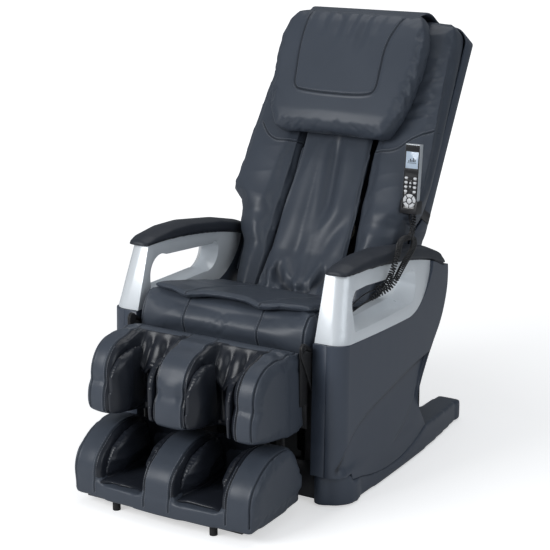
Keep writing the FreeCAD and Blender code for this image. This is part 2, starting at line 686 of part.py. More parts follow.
def back_frame():
    """Two side tubes, cross tubes, pivot plates with pins, and the recline crank."""
    n = (BACK_FRAME_N, BACK_FRAME_N + BACK_TUBE_DEPTH)
    pivot_n, pivot_u = back_place(BACK_PIVOT_Y, BACK_PIVOT_Z)
    lug_n, lug_u = back_place(*RECLINE_LUG)
    inner = BACK_TUBE_X - BACK_TUBE / 2
    outer = BACK_TUBE_X + BACK_TUBE / 2
    pieces = []
    for s in (-1, 1):
        x = sorted((s * inner, s * outer))
        pieces.append(tube_bar(x, n, (BACK_FRAME_LOW, BACK_FRAME_TOP), 2))
        plate = prism(side(s * outer), (n[1], BACK_FRAME_LOW), [
            (n[1], pivot_u + 90.0), (n[0], pivot_u + 90.0),
            (pivot_n - 10.0, pivot_u + 17.0),
            (pivot_n - 20.0, pivot_u, pivot_n - 10.0, pivot_u - 17.0)], V(s * 6.0, 0, 0))
        pin = rod((s * (outer + 3.0), pivot_n, pivot_u), (s * (RAIL_X + 4.0), pivot_n, pivot_u),
                  PIVOT_PIN / 2)
        pieces.append(plate.fuse(pin))
    for u in (BACK_FRAME_LOW, 470.0, BACK_FRAME_TOP - TUBE):
        pieces.append(tube_bar((-inner, inner), n, (u, u + TUBE), 0))
    for s in (-1, 1):
        x0 = ACT_X + s * 11.0
        crank = prism(side(x0), (n[0], BACK_FRAME_LOW), [
            (lug_n - 13.0, lug_u + 8.0),
            (lug_n, lug_u - 13.0, lug_n + 13.0, lug_u + 8.0),
            (n[1], BACK_FRAME_LOW)], V(s * 6.0, 0, 0))
        hole = rod((x0 - 10.0, lug_n, lug_u), (x0 + 10.0, lug_n, lug_u), ACT_PIN / 2)
        pieces.append(crank.cut(hole))
    for u in (495.0, BACK_FRAME_TOP - TUBE - 8.0):
        bearing = box((-22.0, 22.0), (n[0], SCREW_N + 16.0), (u, u + 8.0))
        bore = rod((0, SCREW_N, u - 1), (0, SCREW_N, u + 9), SCREW_DIAMETER / 2 + PIN_PLAY)
        pieces.append(bearing.cut(bore))
    return [lean_back(piece) for piece in pieces]


def shell_sheet(inset, low, n, depth):
    """Upright sheet with rounded top corners, narrower where it passes between the arms."""
    half = SHELL_HALF - inset
    narrow = SHELL_NARROW - inset
    high = SHELL_TOP - inset
    corner = SHELL_CORNER - inset
    cut = corner * (1 - math.sqrt(0.5))
    return prism(upright(n), (-narrow, low), [
        (narrow, low), (narrow, SHELL_WIDEN), (half, SHELL_WIDEN + 40.0), (half, high - corner),
        (half - cut, high - cut, half - corner, high),
        (-half + corner, high),
        (-half + cut, high - cut, -half, high - corner),
        (-half, SHELL_WIDEN + 40.0), (-narrow, SHELL_WIDEN)], V(0, depth, 0))


def shell_round(inset):
    """Block whose rounded rear corners trim the two sides of the shell."""
    half = SHELL_HALF - inset
    rear = SHELL_REAR_N - inset
    radius = SHELL_SIDE_ROUND - inset
    cut = radius * (1 - math.sqrt(0.5))
    return prism(level(0.0), (-half, SHELL_RIM_N - 20.0), [
        (half, SHELL_RIM_N - 20.0), (half, rear - radius),
        (half - cut, rear - cut, half - radius, rear), (-half + radius, rear),
        (-half + cut, rear - cut, -half, rear - radius)], V(0, 0, 2 * SHELL_TOP))


def back_shell():
    """Rear shell of the back: a shallow tray with a rim all round but the bottom."""
    depth = SHELL_REAR_N - SHELL_RIM_N
    full = shell_sheet(0.0, SHELL_LOW, SHELL_RIM_N, depth)
    room = shell_sheet(SHELL_WALL, SHELL_LOW - 1.0, SHELL_RIM_N - 1.0, depth - SHELL_WALL + 1.0)
    full = full.makeFillet(SHELL_WALL * 2, [e for e in full.Edges if e.BoundBox.YMin > SHELL_REAR_N - 1.0
                                            and e.BoundBox.ZMax > SHELL_LOW + 1.0])
    return lean_back(full.common(shell_round(0.0)).cut(room.common(shell_round(SHELL_WALL))))


def wing():
    """Side bolster of the back: wide above the arm, narrow between the arms, crowned in front."""
    behind = box((-2 * SHELL_HALF, 2 * SHELL_HALF), (SHELL_RIM_N - WING_GAP, 0.0), (0.0, 2 * SHELL_TOP))
    behind = behind.cut(shell_sheet(SHELL_WALL + WING_GAP, 0.0, SHELL_RIM_N - 10.0, -SHELL_RIM_N))
    rear = BACK_FRAME_N - WING_GAP
    wires = []
    for u, inner, outer, inner_n, outer_n, crown in WING:
        foot = min(outer, SHELL_HALF - WING_TUCK)
        wires.append(bulged(level(u), [(inner, inner_n), (outer - 4.0, outer_n), (foot, rear), (inner, rear)],
                            [crown, 3.0, 0, WING_INNER_BULGE]))
    return loft(wires).cut(behind)


def back_cover():
    """Loose leather panel between the bolsters, with two lengthways folds and a free lower hem."""
    wires = []
    rear = COVER_N + COVER_THICK
    stations = [(COVER_LOW, 138.0), (520.0, 138.0), (620.0, 134.0)]
    stations += [(u, inner - WING_INNER_BULGE + COVER_SEAM)
                 for u, inner, *others in WING if 700.0 < u < COVER_TOP]
    stations.append((COVER_TOP, stations[-1][1]))
    for u, half in stations:
        crown = 3.0 + 5.0 * (COVER_TOP - u) / (COVER_TOP - COVER_LOW)
        corners = [(-half, COVER_N + 3.0), (-half * 0.3, COVER_N), (half * 0.1, COVER_N + 1.5),
                   (half, COVER_N + 3.0), (half, rear), (-half, rear)]
        wires.append(bulged(level(u), corners, [crown, crown * 0.6, crown, 0, 0, 0]))
    return lean_back(loft(wires))


def pillow():
    """Head pillow: a crowned pad with drawn-in sides, whose top rolls back under the band."""
    wires = []
    for part, draw, back, fall, crown in (
            (0.0, 81.0, 14.0, 22.0, 3.0), (0.025, 59.0, 2.0, 6.0, 8.0), (0.156, 31.0, 0.0, 0.0, 13.0),
            (0.302, 14.0, 0.0, 0.0, 14.0), (0.571, 0.0, 0.0, 0.0, 14.0), (0.766, 1.0, 0.0, 0.0, 13.0),
            (0.878, 14.0, 0.0, 3.0, 9.0), (0.951, 31.0, 0.0, 13.0, 6.0), (0.978, 42.0, 0.0, 26.0, 4.0),
            (1.0, 54.0, 1.0, 44.0, 2.0)):
        u = PILLOW_LOW + part * (PILLOW_TOP - PILLOW_LOW)
        half = PILLOW_HALF - draw
        front = PILLOW_FRONT_N + fall
        rear = PILLOW_REAR_N - back
        corners = [(-half + 10.0, front), (half - 10.0, front), (half, rear), (-half, rear)]
        wires.append(bulged(level(u), corners, [crown, 4.0, 0, 4.0]))
    return lean_back(loft(wires))


def pillow_flap():
    """Band from the pillow's top edge over the top of the back, hanging free behind it."""
    top = SHELL_TOP + FLAP_GAP
    front = chair_place(PILLOW_FRONT_N + 29.0, PILLOW_TOP)
    front_in = chair_place(PILLOW_FRONT_N + 32.0, PILLOW_TOP - 2.5)
    rise = chair_place(-230.0, SHELL_TOP - 9.0)
    crest = chair_place(-186.0, top + FLAP_THICK - 2.0)
    edge = chair_place(SHELL_REAR_N + 1.0, top + FLAP_THICK)
    edge_in = chair_place(SHELL_REAR_N + 4.0, top)
    crest_in = chair_place(-184.0, top)
    rise_in = chair_place(-228.0, SHELL_TOP - 15.0)
    tail = edge[1] - FLAP_TAIL_DROP
    return prism(side(-FLAP_HALF), front, [
        (*rise, *crest), edge, (REAR_END_Y, tail), (REAR_END_Y - FLAP_THICK, tail - 2.0),
        edge_in, crest_in, (*rise_in, *front_in)], V(2 * FLAP_HALF, 0, 0))


def travel_motor():
    """Gear motor on the top cross tube that turns the lead screw."""
    low = BACK_FRAME_TOP - TUBE + 1.0
    case = box((-26.0, 26.0), (BACK_FRAME_N + BACK_TUBE_DEPTH, SHELL_REAR_N - SHELL_WALL - 1.0),
               (low, low + 42.0))
    bore = rod((0, SCREW_N, low - 1.0), (0, SCREW_N, low + 12.0), SCREW_DIAMETER / 2 + 0.3)
    return lean_back(case.cut(bore))


def lead_screw():
    """Plain core of the screw that lifts the carriage, with a collar at each end."""
    shaft = rod((0, SCREW_N, 490.0), (0, SCREW_N, BACK_FRAME_TOP - TUBE + 8.0), SCREW_DIAMETER / 2)
    low = rod((0, SCREW_N, 504.0), (0, SCREW_N, 509.0), SCREW_DIAMETER / 2 + 4.0)
    return lean_back(shaft.fuse(low))


def carriage():
    """Plate that runs between the side tubes, with the screw nut, head bearings and a motor."""
    u0 = CARRIAGE_LOW
    u1 = CARRIAGE_LOW + CARRIAGE_LENGTH
    back = BACK_FRAME_N + 12.0
    plate = box((-CARRIAGE_HALF, CARRIAGE_HALF), (back - CARRIAGE_PLATE, back), (u0, u1))
    nut = box((-18.0, 18.0), (back, SCREW_N + 15.0), (u0 + 40.0, u0 + 80.0))
    nut = nut.cut(rod((0, SCREW_N, u0), (0, SCREW_N, u1), SCREW_DIAMETER / 2 + PIN_PLAY))
    motor = box((60.0, 130.0), (back, SCREW_N + 14.0), (u0 + 30.0, u0 + 110.0))
    middle = u0 + CARRIAGE_LENGTH / 2
    body = plate.fuse([nut, motor])
    for s in (-1, 1):
        x = sorted((s * 30.0, s * 38.0))
        ear = box(x, (HEAD_N - 13.0, back - CARRIAGE_PLATE), (middle - 14.0, middle + 14.0))
        body = body.fuse(ear)
    body = body.cut(rod((-60.0, HEAD_N, middle), (60.0, HEAD_N, middle), HEAD_SHAFT / 2 + PIN_PLAY))
    return lean_back(body)


def massage_head():
    """Shaft with two bowed arms that carry the rollers."""
    middle = CARRIAGE_LOW + CARRIAGE_LENGTH / 2
    front = HEAD_N - ROLLER_FORWARD
    body = rod((-ARM_SPREAD, HEAD_N, middle), (ARM_SPREAD, HEAD_N, middle), HEAD_SHAFT / 2)
    for s in (-1, 1):
        x0 = s * (ARM_SPREAD - ARM_THICK / 2) - ARM_THICK / 2
        arm = prism(side(x0), (HEAD_N + 11.0, middle - 12.0), [
            (HEAD_N + 11.0, middle + 12.0),
            (front + 8.0, middle + ROLLER_REACH + 8.0),
            (front - 6.0, middle + ROLLER_REACH + 10.0, front - 9.0, middle + ROLLER_REACH - 4.0),
            (front - 2.0, middle, front - 9.0, middle - ROLLER_REACH + 4.0),
            (front - 6.0, middle - ROLLER_REACH - 10.0, front + 8.0, middle - ROLLER_REACH - 8.0)],
            V(ARM_THICK, 0, 0))
        body = body.fuse(arm)
    for side_u in (-1, 1):
        u = middle + side_u * ROLLER_REACH
        body = body.cut(rod((-100.0, front, u), (100.0, front, u), ROLLER_AXLE / 2 + PIN_PLAY))
    return lean_back(body)


def rollers(side_u):
    """Axle with one rounded roller outside each arm."""
    middle = CARRIAGE_LOW + CARRIAGE_LENGTH / 2
    u = middle + side_u * ROLLER_REACH
    front = HEAD_N - ROLLER_FORWARD
    inner = ARM_SPREAD + 2.0
    body = rod((-inner - 1.0, front, u), (inner + 1.0, front, u), ROLLER_AXLE / 2)
    for s in (-1, 1):
        wheel = rod((s * inner, front, u), (s * (inner + ROLLER_WIDTH), front, u), ROLLER_RADIUS)
        wheel = wheel.makeFillet(8.0, [e for e in wheel.Edges if e.BoundBox.YLength > ROLLER_RADIUS])
        body = body.fuse(wheel)
    return lean_back(body)


# Leg rest

def calf_wall_wire(x, draw):
    """Side outline of the calf pad's walls; draw pulls it in at the seams."""
    d = draw
    return outline(side(x), (-493.0, 242.0 + d), [
        (-493.0, 459.0 - d),
        (-520.0, 464.0 - d, -562.0 + d * 0.4, 461.0 - d),
        (-628.0 + d, 432.0 - d, -652.0 + d, 350.0),
        (-664.0 + d, 300.0, -656.0 + d, 256.0 + d),
        (-570.0, 232.0 + d, -493.0, 220.0 + d)])


def calf_wall(x0, x1):
    """One padded wall beside a calf channel, crowned between its seams."""
    soft = 13.0
    middle = (x0 + x1) / 2
    return loft([calf_wall_wire(x0, 10.0), calf_wall_wire(x0 + soft, 1.5), calf_wall_wire(middle, 0.0),
                 calf_wall_wire(x1 - soft, 1.5), calf_wall_wire(x1, 10.0)])


def calf_pad():
    """Padded calf unit: a rear slab, a rolled top and three walls that form two channels."""
    slots = [box((s * GUIDE_X - 15.0, s * GUIDE_X + 15.0), (GUIDE_Y - 15.0, -400.0), (200.0, 406.0))
             for s in (-1, 1)]
    slab = prism(side(-LEG_HALF + 2.0), (LEG_PLATE_Y - 5.4, 236.0), [
        (LEG_PLATE_Y - 5.4, 380.0),
        (-409.0, 446.0),
        (-415.0, 452.0, -440.0, 452.0),
        (-470.0, 462.0, -492.7, 459.0),
        (-492.7, 219.0),
        (-474.0, 217.0),
        (-424.0, 222.0)], V(2 * LEG_HALF - 4.0, 0, 0))
    slab = slab.cut(Part.makeCompound(slots))
    roll = prism(side(-LEG_HALF + 84.0), (-493.0, 405.0), [
        (-493.0, 457.0), (-520.0, 461.0, -556.0, 457.0), (-575.0, 440.0, -560.0, 428.0)],
        V(2 * (LEG_HALF - 84.0), 0, 0))
    middle = calf_wall(-CALF_MID_HALF, CALF_MID_HALF)
    outer = calf_wall(CALF_WALL_X, LEG_HALF)
    walls = [middle, outer, mirrored(outer)]
    roll = roll.cut(box((-CALF_MID_HALF - 0.3, CALF_MID_HALF + 0.3), (-700, -400), (200, 500)))
    return [slab] + walls + roll.Solids


def lining(x0, x1, start, legs):
    """Thin air-cell pad on one side of a channel, thicker in the middle."""
    full = outline(side(x0), start, legs)
    centre = full.BoundBox.Center
    small = full.copy()
    small.scale(0.86, centre)
    small.translate(V(x1 - x0, 0, 0))
    return loft([full, small])


def calf_linings():
    """Linings of the two calf channels: both walls and the rear of each."""
    pieces = []
    start = (-498.0, 240.0)
    legs = [(-498.0, 400.0), (-550.0, 402.0), (-622.0, 384.0, -640.0, 326.0), (-645.0, 290.0, -640.0, 262.0)]
    for s in (-1, 1):
        pieces.append(lining(s * (CALF_MID_HALF + 0.5), s * (CALF_MID_HALF + LINING), start, legs))
        pieces.append(lining(s * (CALF_WALL_X - 0.5), s * (CALF_WALL_X - LINING), start, legs))
        x = sorted((s * (CALF_MID_HALF + LINING + 1.0), s * (CALF_WALL_X - LINING - 1.0)))
        corners = [(x[0], -501.0), (x[1], -501.0), (x[1], -493.4), (x[0], -493.4)]
        rear = bulged(level(236.0), corners, [5.0, 0, 0, 0])
        pieces.append(Part.Face(rear).extrude(V(0, 0, 164.0)))
    return pieces


def legrest_frame():
    """Steel back plate with pivot ears and pins, guide tubes and the actuator's lug."""
    edge = RAIL_X - LEG_PLAY
    plate = box((-edge, edge), (LEG_PLATE_Y - 5.0, LEG_PLATE_Y), (LEG_PLATE_LOW, LEG_PLATE_TOP))
    pieces = [plate]
    for s in (-1, 1):
        ear = prism(side(s * edge), (LEG_PLATE_Y - 5.0, 300.0), [
            (LEG_PLATE_Y - 5.0, LEG_PLATE_TOP), (-408.0, 440.0),
            (LEG_PIVOT_Y + 14.0, LEG_PIVOT_Z + 2.0),
            (LEG_PIVOT_Y, LEG_PIVOT_Z + 14.0, LEG_PIVOT_Y - 14.0, LEG_PIVOT_Z),
            (LEG_PIVOT_Y - 14.0, 430.0), (-436.0, 300.0)], V(-s * LEG_EAR, 0, 0))
        pin = rod((s * (edge - 1.0), LEG_PIVOT_Y, LEG_PIVOT_Z),
                  (s * (RAIL_X + LEG_BRACKET + 2.0), LEG_PIVOT_Y, LEG_PIVOT_Z), LEG_PIN / 2)
        pieces.append(ear.fuse(pin))
        x = s * GUIDE_X
        guide = rod((x, GUIDE_Y, LEG_PLATE_LOW), (x, GUIDE_Y, 402.0), GUIDE_TUBE / 2)
        web = box((x - 3.0, x + 3.0), (GUIDE_Y + 5.0, LEG_PLATE_Y - 5.0), (240.0, 380.0))
        bore = rod((x, GUIDE_Y, 200.0), (x, GUIDE_Y, 410.0), GUIDE_ROD / 2 + PIN_PLAY)
        pieces.append(guide.fuse(web).cut(bore))
        lug = prism(side(-ACT_X + s * 12.0), (LEG_PLATE_Y, LEG_LUG[1] - 20.0), [
            (LEG_LUG[0], LEG_LUG[1] - 13.0),
            (LEG_LUG[0] + 13.0, LEG_LUG[1], LEG_LUG[0], LEG_LUG[1] + 13.0),
            (LEG_PLATE_Y, LEG_LUG[1] + 20.0)], V(s * 5.0, 0, 0))
        hole = rod((-ACT_X + s * 8.0, *LEG_LUG), (-ACT_X + s * 22.0, *LEG_LUG), ACT_PIN / 2)
        pieces.append(lug.cut(hole))
    return pieces


def foot_wire(x, draw, front):
    """Side outline of the foot pad's walls."""
    d = draw
    return outline(side(x), (-450.0, 76.0), [
        (-462.0 - d * 0.3, 150.0, -500.0, 210.0 - d),
        (-600.0, 208.0 - d, -662.0 + d * 0.5 + front * 0.5, 172.0 - d),
        (-694.0 + d + front, 128.0, -700.0 + d + front, 76.0)])


def foot_wall(x0, x1, front0, front1):
    """One padded wall of the foot unit."""
    soft = 13.0
    middle = (x0 + x1) / 2
    return loft([foot_wire(x0, 9.0, front0), foot_wire(x0 + soft, 1.5, front0),
                 foot_wire(middle, 0.0, (front0 + front1) / 2),
                 foot_wire(x1 - soft, 1.5, front1), foot_wire(x1, 9.0, front1)])


def foot_pad():
    """Padded foot unit: base with a bowed front lip, three walls and a rear slab."""
    low = FOOT_BOTTOM + FOOT_PLATE + 0.3
    base = prism(level(low), (-FOOT_HALF + 8.0, -446.0), [
        (-FOOT_HALF, -600.0, -FOOT_HALF + 5.0, FOOT_FRONT_Y + FOOT_BOW),
        (0.0, FOOT_FRONT_Y, FOOT_HALF - 5.0, FOOT_FRONT_Y + FOOT_BOW),
        (FOOT_HALF, -600.0, FOOT_HALF - 8.0, -446.0)], V(0, 0, 76.0 - low - 0.3))
    slots = [box((s * GUIDE_X - 13.0, s * GUIDE_X + 13.0), (GUIDE_Y - 13.0, -400.0), (20.0, 230.0))
             for s in (-1, 1)]
    rear = prism(side(-LEG_HALF), (-404.0, 64.0), [
        (-438.0, 150.0), (-485.0, 208.0), (-488.0, 206.0),
        (-456.0, 140.0, -449.5, 76.0), (-445.5, 76.0), (-445.5, 50.0)], V(2 * LEG_HALF, 0, 0))
    middle = foot_wall(-FOOT_MID_HALF, FOOT_MID_HALF, -22.0, -22.0)
    outer = foot_wall(FOOT_WALL_X, FOOT_HALF, -12.0, -8.0)
    cut = Part.makeCompound(slots)
    return [base.cut(cut), rear.cut(cut), middle.cut(cut), outer.cut(cut), mirrored(outer).cut(cut)]


def foot_linings():
    """Linings of the two foot channels and their sole pads."""
    pieces = []
    start = (-470.0, 92.0)
    legs = [(-500.0, 192.0), (-600.0, 188.0, -650.0, 160.0), (-668.0, 130.0, -676.0, 92.0)]
    for s in (-1, 1):
        pieces.append(lining(s * (FOOT_MID_HALF + 0.5), s * (FOOT_MID_HALF + LINING), start, legs))
        pieces.append(lining(s * (FOOT_WALL_X - 0.5), s * (FOOT_WALL_X - LINING), start, legs))
        x = sorted((s * (FOOT_MID_HALF + 1.0), s * (FOOT_WALL_X - 1.0)))
        corners = [(-696.0, 76.3), (-452.0, 76.3), (-452.0, 84.0), (-696.0, 84.0)]
        sole = bulged(side(x[0]), corners, [0, 0, 4.0, 0])
        pieces.append(Part.Face(sole).extrude(V(x[1] - x[0], 0, 0)))
    return pieces


def foot_frame():
    """Sole plate with the two guide rods that run in the leg rest's tubes."""
    half = LEG_HALF - 24.0
    top = FOOT_BOTTOM + FOOT_PLATE
    rods = [rod((s * GUIDE_X, GUIDE_Y, top), (s * GUIDE_X, GUIDE_Y, 396.0), GUIDE_ROD / 2) for s in (-1, 1)]
    return [box((-half, half), (-690.0, -425.0), (FOOT_BOTTOM, top))] + rods


def foot_glides():
    """Two round feet under the front of the foot unit."""
    return [rod((s * FOOT_GLIDE_X, FOOT_GLIDE_Y, 0), (s * FOOT_GLIDE_X, FOOT_GLIDE_Y, FOOT_BOTTOM), 11.0)
            for s in (-1, 1)]


# Handset: built standing with its face on the plane y = 0 and its foot at z = 0

def place_handset(shape):
    """Put a handset piece at its place on the chair, with the handset's lean."""
    placed = shape.copy()
    placed.rotate(V(0, 0, 0), V(1, 0, 0), -HANDSET_LEAN)
    placed.translate(V(HANDSET_X, HANDSET_Y, HANDSET_Z))
    return placed


def oval(x, z, grow, y0, y1):
    """Oval key with its axis along y."""
    half = OVAL_WIDTH / 2 - OVAL_HEIGHT / 2
    r = OVAL_HEIGHT / 2 + grow
    return prism(upright(y0), (x - half, z - r), [
        (x + half, z - r), (x + half + r, z, x + half, z + r), (x - half, z + r),
        (x - half - r, z, x - half, z - r)], V(0, y1 - y0, 0))


def ring(grow, y0, y1):
    """Round pad with a round hole."""
    outer = rod((0, y0, RING_Z), (0, y1, RING_Z), RING_OUTER + grow)
    return outer.cut(rod((0, y0 - 1, RING_Z), (0, y1 + 1, RING_Z), RING_INNER - grow))



def handset_body():
    """Silver shell with a rounded back, pockets for the keys and the screen."""
    half = HANDSET_WIDTH / 2
    body = box((-half, half), (0, HANDSET_THICK), (0, HANDSET_HEIGHT))
    body = body.makeFillet(HANDSET_ROUND, [e for e in body.Edges if e.BoundBox.YMin > HANDSET_THICK - 1.0])
    body = body.makeFillet(2.5, [e for e in body.Edges if e.BoundBox.YMax < 1.0])
    room = KEY_DEPTH + KEY_TRAVEL + 0.5
    tools = [oval(s * OVAL_X, z, KEY_GAP, -1.0, room) for s in (-1, 1) for z in OVAL_ROWS]
    tools.append(ring(KEY_GAP, -1.0, room))
    tools.append(rod((0, -1.0, RING_Z), (0, room, RING_Z), CENTRE_KEY + KEY_GAP))
    arrow_x = ARROW_HALF + KEY_GAP
    arrow_z = ARROW_REACH + KEY_GAP
    tools.append(box((-arrow_x, arrow_x), (-1.0, room), (ARROW_Z - arrow_z, ARROW_Z + arrow_z)))
    tools.append(box((-20.0, 20.0), (-1.0, 1.5), (129.0, 178.0)))
    for tool in tools:
        body = body.cut(tool)
    return place_handset(body)


def keys():
    """All keys of the handset, each a separate moving piece."""
    y0 = -KEY_PROUD
    y1 = KEY_DEPTH - KEY_PROUD
    found = {}
    for column, s in (("a", -1), ("b", 1)):
        for row, z in enumerate(OVAL_ROWS):
            found["key_" + column + str(row + 1)] = oval(s * OVAL_X, z, 0.0, y0, y1)
    found["key_ring"] = ring(0.0, y0, y1)
    found["key_centre"] = rod((0, y0, RING_Z), (0, y1, RING_Z), CENTRE_KEY)
    found["key_arrows"] = box((-ARROW_HALF, ARROW_HALF), (y0, y1),
                                (ARROW_Z - ARROW_REACH, ARROW_Z + ARROW_REACH))
    return {name: place_handset(shape) for name, shape in found.items()}


def handset_screen():
    """Screen plate, sunk in the handset's face."""
    return place_handset(box((-19.8, 19.8), (0.3, 1.5), (129.2, 177.8)))


def holder_stem(grow):
    """Flat bar from the cup through a slit in the bolster to the shell's side."""
    n, u = back_place(HANDSET_Y + HANDSET_THICK, HANDSET_Z)
    x = SHELL_HALF + STEM_GAP
    return lean_back(box((x - grow, x + STEM_THICK + grow), (n - 14.0 - grow, SHELL_RIM_N + 40.0),
                         (u - grow, u + STEM_WIDTH + grow)))


def handset_holder():
    """Cup for the foot of the handset, with a stem that is screwed to the back shell's rim."""
    half = HANDSET_WIDTH / 2
    p = CUP_PLAY
    w = CUP_WALL
    cup = box((-half - p - w, half + p + w), (-p - w, HANDSET_THICK + p + w), (-w - p, CUP_HEIGHT))
    room = box((-half - p, half + p), (-p, HANDSET_THICK + p), (-p, CUP_HEIGHT + 1.0))
    reach = CORD_OUTER / 2 + 1.5
    mouth = box((TAIL_EXIT_X - CORD_WIRE, MAIN_EXIT_X + reach),
                (HANDSET_THICK / 2 - reach, HANDSET_THICK / 2 + reach), (-10.0, 5.0))
    front = box((-half + 4.0, half - 4.0), (-p - w - 1.0, 0.0), (12.0, CUP_HEIGHT + 1.0))
    cup = place_handset(cup.cut(room).cut(mouth).cut(front))
    stem = holder_stem(0.0)
    block = box((-half - p - w, half + p + w), (-p - w, HANDSET_THICK + p), (-w - p, HANDSET_HEIGHT))
    return cup.fuse(stem.cut(place_handset(block)))


def handset_room():
    """Space that the handset and its cup need in front of the bolster, with a small clearance."""
    half = HANDSET_WIDTH / 2 + CUP_PLAY + CUP_WALL + 1.5
    return place_handset(box((-half, half + 60.0), (-60.0, HANDSET_THICK + CUP_PLAY + CUP_WALL + 1.5),
                             (-CUP_WALL - 4.0, HANDSET_HEIGHT + 100.0)))


def cord_socket():
    """Gland plate on the front wall of the left arm's window, where both cords end."""
    plate = rod((GLAND_X, GLAND_Y - GLAND_REACH, MAIN_GLAND_Z), (GLAND_X, GLAND_Y, MAIN_GLAND_Z), 7.0)
    tail = rod((GLAND_X, GLAND_Y - GLAND_REACH, TAIL_GLAND_Z), (GLAND_X, GLAND_Y, TAIL_GLAND_Z), 5.0)
    web = box((GLAND_X - 4.0, GLAND_X + 4.0), (GLAND_Y - GLAND_REACH, GLAND_Y), (TAIL_GLAND_Z, MAIN_GLAND_Z))
    return plate.fuse([tail, web])


def handset_point(x, z):
    """A point on the middle line of an exit in the foot of the handset."""
    return place_handset(Part.Vertex(x, HANDSET_THICK / 2, z)).Point


def main_route():
    """Middle line of the curly cord: over the arm pad, down its side and into the window."""
    return [handset_point(MAIN_EXIT_X, 0.0), handset_point(MAIN_EXIT_X, -34.0),
            V(319, 148, 660), V(331, 97, 660), V(348, 38, 675), V(366, -28, 683), V(390, -86, 675),
            V(400, -122, 650), V(394, -136, 618), V(377, -124, 584), V(352, -140, 569),
            V(338, -186, 565), V(336, -240, 553), V(GLAND_X, -284, MAIN_GLAND_Z),
            V(GLAND_X, GLAND_Y, MAIN_GLAND_Z)]


def tail_route():
    """Middle line of the second cord, drawn straight where its tails are under pull."""
    return [handset_point(TAIL_EXIT_X, 0.0), handset_point(TAIL_EXIT_X, -14.0),
            V(330, 116, 690), V(376, 46, 667), V(391, 4, 657), V(399, -50, 642), V(405, -104, 620),
            V(406, -139, 596), V(389, -154, 574), V(364, -178, 560), V(352, -216, 547),
            V(GLAND_X, -284, TAIL_GLAND_Z), V(GLAND_X, GLAND_Y, TAIL_GLAND_Z)]


def rounded_route(points):
    """Straight runs joined by tangent arcs; each arc takes 0.45 of its shorter run."""
    edges = []
    radii = []
    here = points[0]
    for i in range(1, len(points) - 1):
        a, b, c = points[i - 1], points[i], points[i + 1]
        back = (a - b).normalize()
        ahead = (c - b).normalize()
        turn = math.pi - back.getAngle(ahead)
        run = min((a - b).Length, (c - b).Length)
        step = 0.45 * run
        radius = step / math.tan(turn / 2)
        start = b + back * step
        end = b + ahead * step
        middle = b + (back + ahead).normalize() * (radius / math.cos(turn / 2) - radius)
        edges.append(Part.LineSegment(here, start).toShape())
        edges.append(Part.Arc(start, middle, end).toShape())
        radii.append(round(radius))
        here = end
    edges.append(Part.LineSegment(here, points[-1]).toShape())
    return Part.Wire(edges), radii


def along(wire, step):
    """Points and directions at even steps along a route of lines and arcs."""
    found = []
    offset = 0.0
    for edge in wire.OrderedEdges:
        while offset < edge.Length:
            where = edge.getParameterByLength(offset)
            found.append((edge.valueAt(where), edge.tangentAt(where)))
            offset += step
        offset -= edge.Length
    return found


def curl_line(wire, first, last, curls):
    """Points of a helix round a route; it stays on the middle line outside first and last."""
    step = (last - first) / curls / 4 / CURL_STEPS
    line = along(wire, step)
    across = line[0][1].cross(V(0.3, 1.0, 0.2)).normalize()
    found = []
    for i, (place, ahead) in enumerate(line):
        across = (across - ahead * across.dot(ahead)).normalize()
        reach = min(max(0.0, i * step - first), max(0.0, last - i * step)) / CURL_RAMP
        size = min(1.0, reach)
        size = size * size * (3.0 - 2.0 * size) * (CORD_OUTER - CORD_WIRE) / 2
        turn = 2 * math.pi * (i * step - first) / (last - first) * curls
        found.append(place + (across * math.cos(turn) + ahead.cross(across) * math.sin(turn)) * size)
    found.append(wire.OrderedVertexes[-1].Point)
    return found


def biarc(start, out, end, into):
    """Two arcs that leave start along out and reach end along into."""
    chord = end - start
    both = out + into
    bend = 2.0 * (1.0 - out.dot(into))
    lean = chord.dot(both)
    if bend < 1e-9:
        return [Part.LineSegment(start, end).toShape()]
    reach = (math.sqrt(lean * lean + bend * chord.dot(chord)) - lean) / bend
    joint = (start + end + (out - into) * reach) * 0.5
    edges = []
    for a, corner, b in ((start, start + out * reach, joint), (joint, end - into * reach, end)):
        half = (b - a).Length / 2
        middle = (a + b) * 0.5
        rise = corner - middle
        if rise.Length < 1e-4:
            edges.append(Part.LineSegment(a, b).toShape())
            continue
        radius = half * reach / rise.Length
        sag = radius - math.sqrt(radius ** 2 - half ** 2)
        edges.append(Part.Arc(a, middle + rise.normalize() * sag, b).toShape())
    return edges


def curly_cord(points, first, last_gap, curls):
    """One unbroken tube that curls round a route, with straight ends."""
    wire, radii = rounded_route(points)
    last = wire.Length - last_gap
    line = curl_line(wire, first, last, curls)
    print("bend radii", radii, "route", round(wire.Length), "curl pitch", round((last - first) / curls, 2))
    marks = list(range(0, len(line) - 1, CURL_STEPS)) + [len(line) - 1]
    if marks[-1] - marks[-2] < CURL_STEPS / 2:
        marks.pop(-2)
    edges = []
    for a, b in zip(marks, marks[1:]):
        out = (line[a + 1] - line[max(a - 1, 0)]).normalize()
        into = (line[min(b + 1, len(line) - 1)] - line[b - 1]).normalize()
        edges += biarc(line[a], out, line[b], into)
    path = Part.Wire(edges)
    tube = tube_along(path, CORD_WIRE / 2)
    section = math.pi * CORD_WIRE ** 2 / 4
    print("wire length", round(path.Length), "volume ratio", round(tube.Volume / (section * path.Length), 4),
          "least gap", round(least_gap(line), 2))
    return tube


def least_gap(line):
    """Smallest gap from a cord to itself, between points more than three wires apart along it."""
    run = [0.0]
    for a, b in zip(line, line[1:]):
        run.append(run[-1] + (b - a).Length)
    closest = 1e9
    for i in range(len(line)):
        for j in range(i + CURL_STEPS, min(i + CURL_STEPS * 9, len(line))):
            if run[j] - run[i] > 3 * CORD_WIRE:
                closest = min(closest, (line[i] - line[j]).Length)
    return closest - CORD_WIRE


